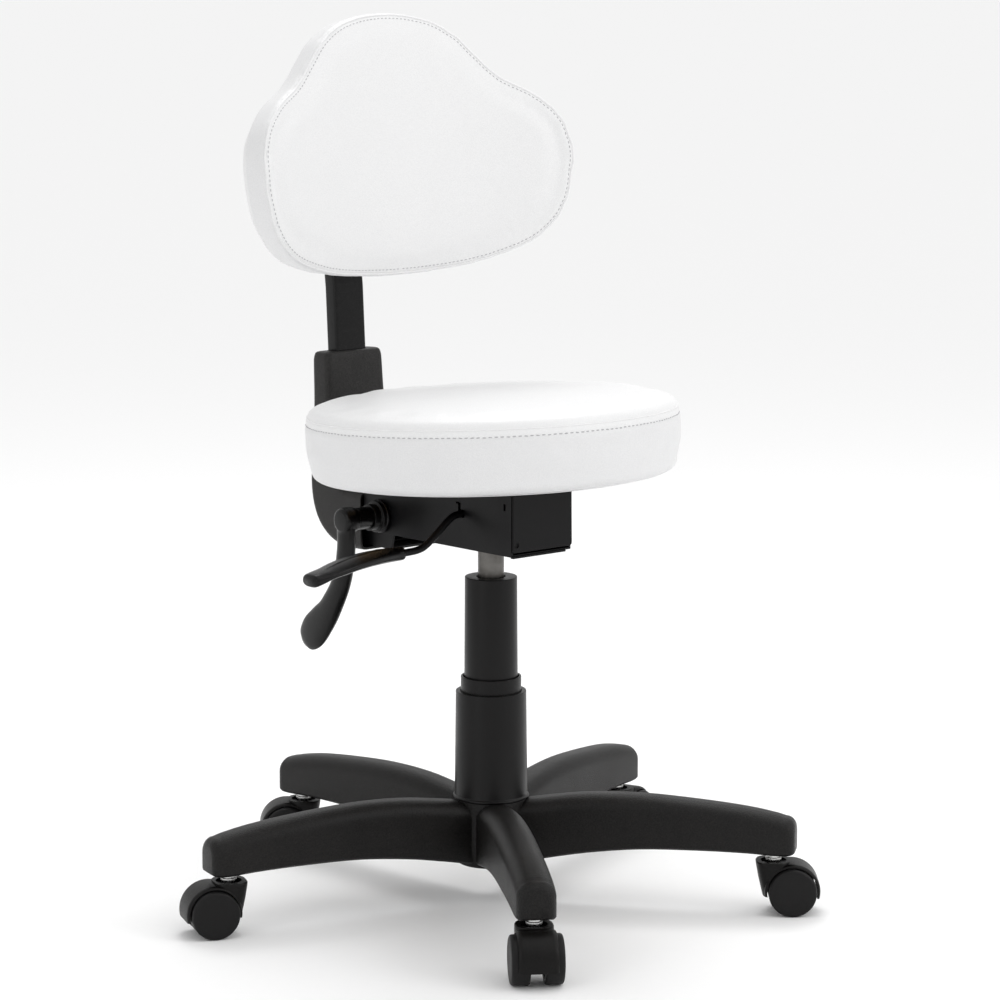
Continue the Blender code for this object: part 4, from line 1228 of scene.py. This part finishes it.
def make_bar():
    bend = arc(BAR_BEND, BAR_BEND_R, -90.0, -degrees(BAR_LEAN), 16)
    low, high = pi / 2 - BAR_LEAN, pi / 2 - BAR_TOP_LEAN
    spots = [(0.15, 0.379, 0.0), *[(y, z, low * k / 16) for k, (y, z) in enumerate(bend)]]
    y, z = bend[-1]
    kink = y + (BAR_KINK - z) * tan(BAR_LEAN)
    for k in range(7):
        t = k / 6
        lean = BAR_LEAN + (BAR_TOP_LEAN - BAR_LEAN) * t
        height = BAR_KINK - 0.009 + 0.018 * t
        soft_y = kink + (height - BAR_KINK) * tan(BAR_LEAN if t < 0.5 else BAR_TOP_LEAN)
        spots.append((soft_y, height, pi / 2 - lean))
    spots.append((kink + (BAR_TOP - BAR_KINK) * tan(BAR_TOP_LEAN), BAR_TOP, high))
    outer = [across_bar(centre, slope, 0.02, 0.009, 0.0034) for *centre, slope in spots]
    inner = [across_bar(centre, slope, 0.018, 0.007, 0.002) for *centre, slope in spots]
    tube = hollow_loft(outer, inner)
    place_piece("back_tube", tube, "paint", "back_frame", "back_bar", sharp=45.0)


def make_bar_cover():
    stations = [
        (0.166, 0.3925, 0.0, 0.031, 0.044),
        (0.18, 0.3922, 0.0, 0.0312, 0.044),
        (0.196, 0.3922, 3.0, 0.0312, 0.044),
        (0.213, 0.3975, 30.0, 0.031, 0.044),
        (0.225, 0.4095, 58.0, 0.029, 0.044),
        (0.2335, 0.431, 80.0, 0.024, 0.0435),
        (0.2385, 0.466, 86.5, 0.018, 0.0415),
        (0.2415, 0.511, 86.8, 0.0155, 0.0392),
        (0.2439, 0.553, 86.8, 0.0146, 0.0384),
        (0.2443, 0.561, 86.8, 0.0142, 0.0379),
        (0.2446, 0.5655, 86.8, 0.0134, 0.0367),
    ]
    fine = [((y, z), radians(slope), width, depth) for y, z, slope, depth, width in curve(stations, 5)]
    outer = [across_bar(*section, 0.0075) for section in fine]
    (y, z), slope, width, depth = fine[-1]
    for rise, inset in ((0.0012, 0.0016), (0.0018, 0.0034)):
        outer.append(across_bar((y + rise * 0.05, z + rise), slope, width - inset, depth - inset, 0.006))
    wall = 0.0022
    inner = [across_bar(centre, slope, w - wall, d - wall, 0.0055) for centre, slope, w, d in fine]
    inner.append(across_bar((y, z + 0.001), slope, 0.0212, 0.0102, 0.0034))
    inner.append(across_bar((y, z + 0.0018), slope, 0.0206, 0.0098, 0.0034))
    boot = hollow_loft(outer, inner)
    place_piece("bar_boot", boot, "boot", "back_frame", "bar_cover", sharp=48.0)


def make_back_bracket():
    lean = Matrix.Translation(BACK_ORIGIN) @ turn(-degrees(BACK_LEAN), "X")
    front, wall = 0.0533, 0.0024
    layers = (
        (0.0006, front), (0.0, front + 0.0015), (0.002, 0.07), (0.0045, 0.09), (0.01, 0.109),
        (0.013, 0.115), (0.0165, 0.1178), (0.02, 0.1186),
    )

    def ring(inset, depth, lower=0.0):
        w, low, high = 0.04 - inset, -0.052 + inset * 0.2 + lower, 0.088 - inset
        outline = rounded([(w, low, 0.004), (w, high, 0.016), (-w, high, 0.016), (-w, low, 0.004)], 0.004, 7)
        return [(x, depth, up) for x, up in outline]

    outside = lofted([ring(inset, depth) for inset, depth in layers])
    room_layers = ((0.0, front - 0.004), (0.002, 0.07), (0.0045, 0.09), (0.01, 0.1072), (0.015, 0.1155))
    room = lofted([ring(inset + wall, depth, 0.002) for inset, depth in room_layers])
    bar_slot = [(-0.0207, 0.0908), (0.0207, 0.0908), (0.0207, 0.111), (-0.0207, 0.111)]
    bar_slot = prism(bar_slot, (-0.075, 0.0), "Z")
    screw_holes = [
        moved(rod(0.0036, 0.03, 24), turn(90.0, "X"), shift(0.0, 0.13, up)) for up in (-0.03, 0.04)
    ]
    cap = cut(outside, room, bar_slot, *screw_holes)
    place_piece(
        "bracket_shell", cap, "boot", "back_frame", "bracket_cover", lean, edge=0.0005, sharp=40.0
    )


# ---- camera, light and floor


def point_at(obj, position, forward):
    obj.location = position
    obj.rotation_euler = Vector(forward).to_track_quat("-Z", "Y").to_euler()


def make_camera():
    """Four metres in front and to the levers' side, a little above the back, with a long lens."""
    turn_left, yaw, pitch = radians(39.5), radians(0.135), radians(9.59)
    ahead = Vector((sin(yaw) * cos(pitch), cos(yaw) * cos(pitch), -sin(pitch)))
    to_stool = Matrix.Rotation(-turn_left, 3, "Z")
    data = bpy.data.cameras.new("camera")
    data.lens, data.sensor_width = 140.15, 36.0
    data.clip_end = 200.0
    camera = added("camera", data)
    point_at(camera, COLUMN + to_stool @ Vector((0.0, -4.0, 1.109)), to_stool @ ahead)
    bpy.context.scene.camera = camera


def make_light(name, position, target, size, power):
    data = bpy.data.lights.new(name, "AREA")
    data.shape = "RECTANGLE"
    data.size, data.size_y = size
    data.energy = power
    lamp = added(name, data)
    point_at(lamp, position, Vector(target) - Vector(position))


def make_sun(name, direction, strength, softness):
    data = bpy.data.lights.new(name, "SUN")
    data.energy = strength
    data.angle = radians(softness)
    lamp = added(name, data)
    point_at(lamp, direction, -Vector(direction))


def make_stage():
    """A pale level floor that runs out of sight."""
    material, tree, shader = new_material("studio_paper")
    fibres = noise_of(tree, coordinates(tree), 90.0, 3.0)
    colour_from(tree, shader, fibres, (0.94, 0.94, 0.94), (0.96, 0.96, 0.96))
    dial(shader, Roughness=0.9, Specular_IOR_Level=0.15)
    reach, cells = 60.0, 12
    bm = bmesh.new()
    steps = [reach * (2.0 * k / cells - 1.0) for k in range(cells + 1)]
    rows = rings_in(bm, [[(x, y, 0.0) for x in steps] for y in steps])
    for low, high in zip(rows, rows[1:]):
        for k in range(cells):
            bm.faces.new((low[k], low[k + 1], high[k + 1], high[k]))
    mesh = mesh_from(bm)
    mesh.materials.append(material)
    added("studio_floor", mesh)


def make_lights():
    world = bpy.data.worlds.new("studio")
    world.use_nodes = True
    background = world.node_tree.nodes["Background"]
    dial(background, Color=(1.0, 1.0, 1.0, 1.0), Strength=0.8)
    bpy.context.scene.world = world
    make_light("overhead", (0.75, 0.9, 2.35), (0.0, 0.0, 0.2), (1.2, 0.8), 18.0)
    make_light("key", (1.5, -2.7, 1.9), (0.0, 0.0, 0.5), (1.4, 1.6), 17.0)
    make_light("side", (-2.4, -0.4, 1.2), (0.0, 0.0, 0.35), (0.5, 1.6), 5.0)
    make_sun("sky_light", (0.3, -0.4, 1.0), 0.55, 70.0)
    bpy.context.scene.view_settings.view_transform = "Standard"


# ---- the whole stool


def paint_frame():
    """The CAD nodes that stay in view get a full material for their record's slot."""
    for part in frame["record"]["subparts"]:
        look = SLOT_LOOKS.get(part["material_slot"], part["material_slot"])
        for slot in frame["nodes"][part["node"]].material_slots:
            slot.material = LOOKS[look]


paint_frame()
make_camera()
make_stage()
make_lights()
make_star_base()
make_casters()
make_column()
make_mechanism()
make_lift_lever()
make_lock_lever()
make_seat_cushion()
make_back_cushion()
make_back_rear()
make_bar()
make_bar_cover()
make_back_bracket()
